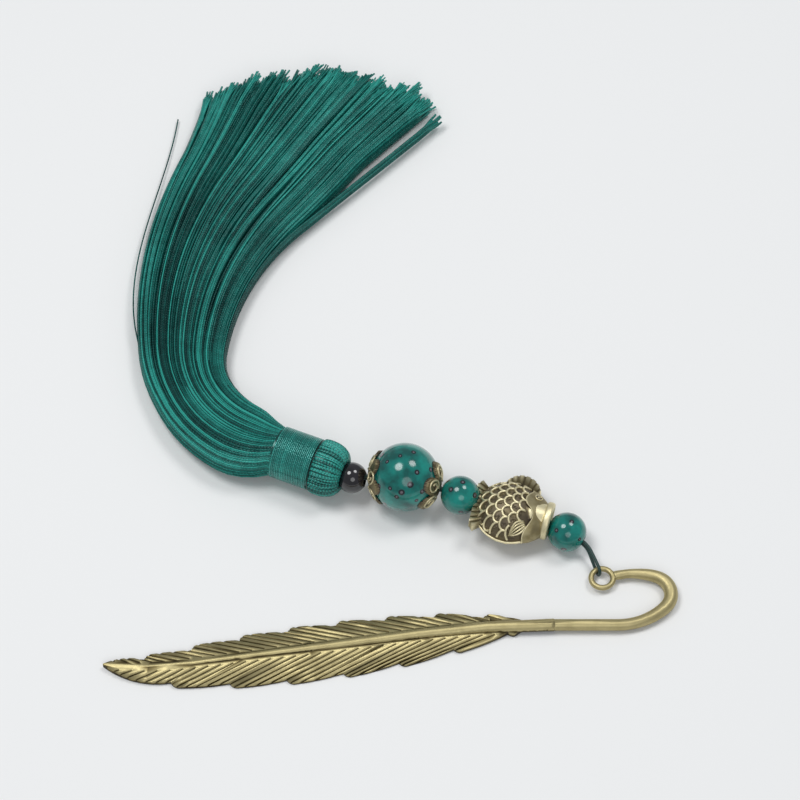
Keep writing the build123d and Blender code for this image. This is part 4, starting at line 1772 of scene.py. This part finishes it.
@dataclass
class Studio:
    """Plain pale floor, soft light and the camera."""

    camera_place: Place = (-19.978, -334.345, 596.615)
    elevation: float = 57.0
    lens: float = 157.5
    sensor: float = 36.0
    floor_colour: Colour = (0.86, 0.865, 0.86)
    floor_size: float = 4.0
    floor_drop: float = 0.00001
    sky: Colour = (0.92, 0.95, 1.0)
    sky_strength: float = 0.36
    lit: Place = (-30.0, 50.0, 5.0)
    lamps: tuple[tuple[str, Place, float, float], ...] = (
        ("window_left", (-275.0, 95.0, 720.0), 330.0, 2.25),
        ("window_right", (285.0, 260.0, 710.0), 280.0, 1.5),
        ("front_fill", (60.0, -520.0, 520.0), 420.0, 0.9),
    )

    def build(self) -> None:
        """Set up the floor, the light and the camera."""
        scene = bpy.context.scene
        scene.view_settings.view_transform = "Standard"
        self.lay_floor()
        self.light()
        data = bpy.data.cameras.new("camera")
        data.lens = self.lens
        data.sensor_width = self.sensor
        data.clip_start = 0.01
        camera = new_object("camera", data)
        camera.location = Vector(self.camera_place) * MM
        camera.rotation_euler = (math.radians(90 - self.elevation), 0.0, 0.0)
        scene.camera = camera

    def lay_floor(self) -> None:
        """Lay the floor under the bookmark."""
        deselect_all()
        bpy.ops.mesh.primitive_plane_add(size=self.floor_size, location=(0, 0, -self.floor_drop))
        floor = bpy.context.object
        floor.name = "floor"
        bench = Bench("pale_floor")
        bench.set(Base_Color=(*self.floor_colour, 1.0), Roughness=0.8, Specular_IOR_Level=0.2)
        floor.data.materials.append(bench.material)

    def light(self) -> None:
        """Hang the soft lamps and set the world."""
        target = Vector(self.lit) * MM
        for name, place, size, power in self.lamps:
            lamp = bpy.data.lights.new(name, "AREA")
            lamp.shape = "DISK"
            lamp.size = size * MM
            lamp.energy = power
            holder = new_object(name, lamp)
            holder.location = Vector(place) * MM
            holder.rotation_euler = (target - holder.location).to_track_quat("-Z", "Y").to_euler()
        world = bpy.data.worlds.new("studio")
        world.use_nodes = True
        background = world.node_tree.nodes["Background"]
        background.inputs["Color"].default_value = (*self.sky, 1.0)
        background.inputs["Strength"].default_value = self.sky_strength
        bpy.context.scene.world = world


def beads(kit: Kit) -> Iterable[Bead]:
    """The round beads, from the hook to the tassel.

    Args:
        kit: The nodes and materials.

    Returns:
        The beads, one by one.
    """
    yield Bead(
        kit,
        "glazed_bead_hook",
        Body.HOOK_END_BEAD,
        centre=(12.92437, 19.52545, 3.95),
        axis=(-0.86953, 0.46234, 0.17365),
    )
    yield Bead(
        kit,
        "glazed_bead_tail",
        Body.TAIL_END_BEAD,
        centre=(-8.07363, 26.85158, 5.86136),
        axis=(-0.9539, 0.29346, 0.06288),
    )
    yield Bead(
        kit,
        "glazed_bead_large",
        Body.SPECKLED_BEAD,
        centre=(-18.991, 30.40163, 6.9),
        axis=(-0.98161, 0.19087, -0.00424),
        diameter=13.7,
        bore=4.2,
        speck_count=46,
        segments=200,
        rings=128,
    )
    yield Bead(
        kit,
        "stone_bead",
        Body.DARK_BEAD,
        centre=(-29.53335, 31.04643, 5.7),
        axis=(-0.97265, 0.2251, -0.05732),
        shade=Shade.STONE,
        diameter=6.2,
        bore=2.7,
        speck_count=0,
    )


def caps(kit: Kit) -> Iterable[Cap]:
    """The two petal caps.

    Args:
        kit: The nodes and materials.

    Returns:
        The caps, one by one.
    """
    yield Cap(kit, "fish_cap", Body.FISH_SIDE_CAP, (0.94313, -0.31557, -0.10453))
    yield Cap(kit, "tassel_cap", Body.TASSEL_SIDE_CAP, (-0.99175, 0.06066, -0.11289))


def main() -> None:
    """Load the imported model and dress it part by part."""
    logging.basicConfig(level=logging.INFO, format="%(name)s: %(message)s")
    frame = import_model()
    kit = Kit(frame["nodes"], Palette())
    Studio().build()
    parts = (Cord(kit), Feather(kit), *beads(kit), *caps(kit), Fish(kit), Tassel(kit), Skirt(kit))
    for part in parts:
        part.build()
    deselect_all()


if __name__ == "__main__":
    main()
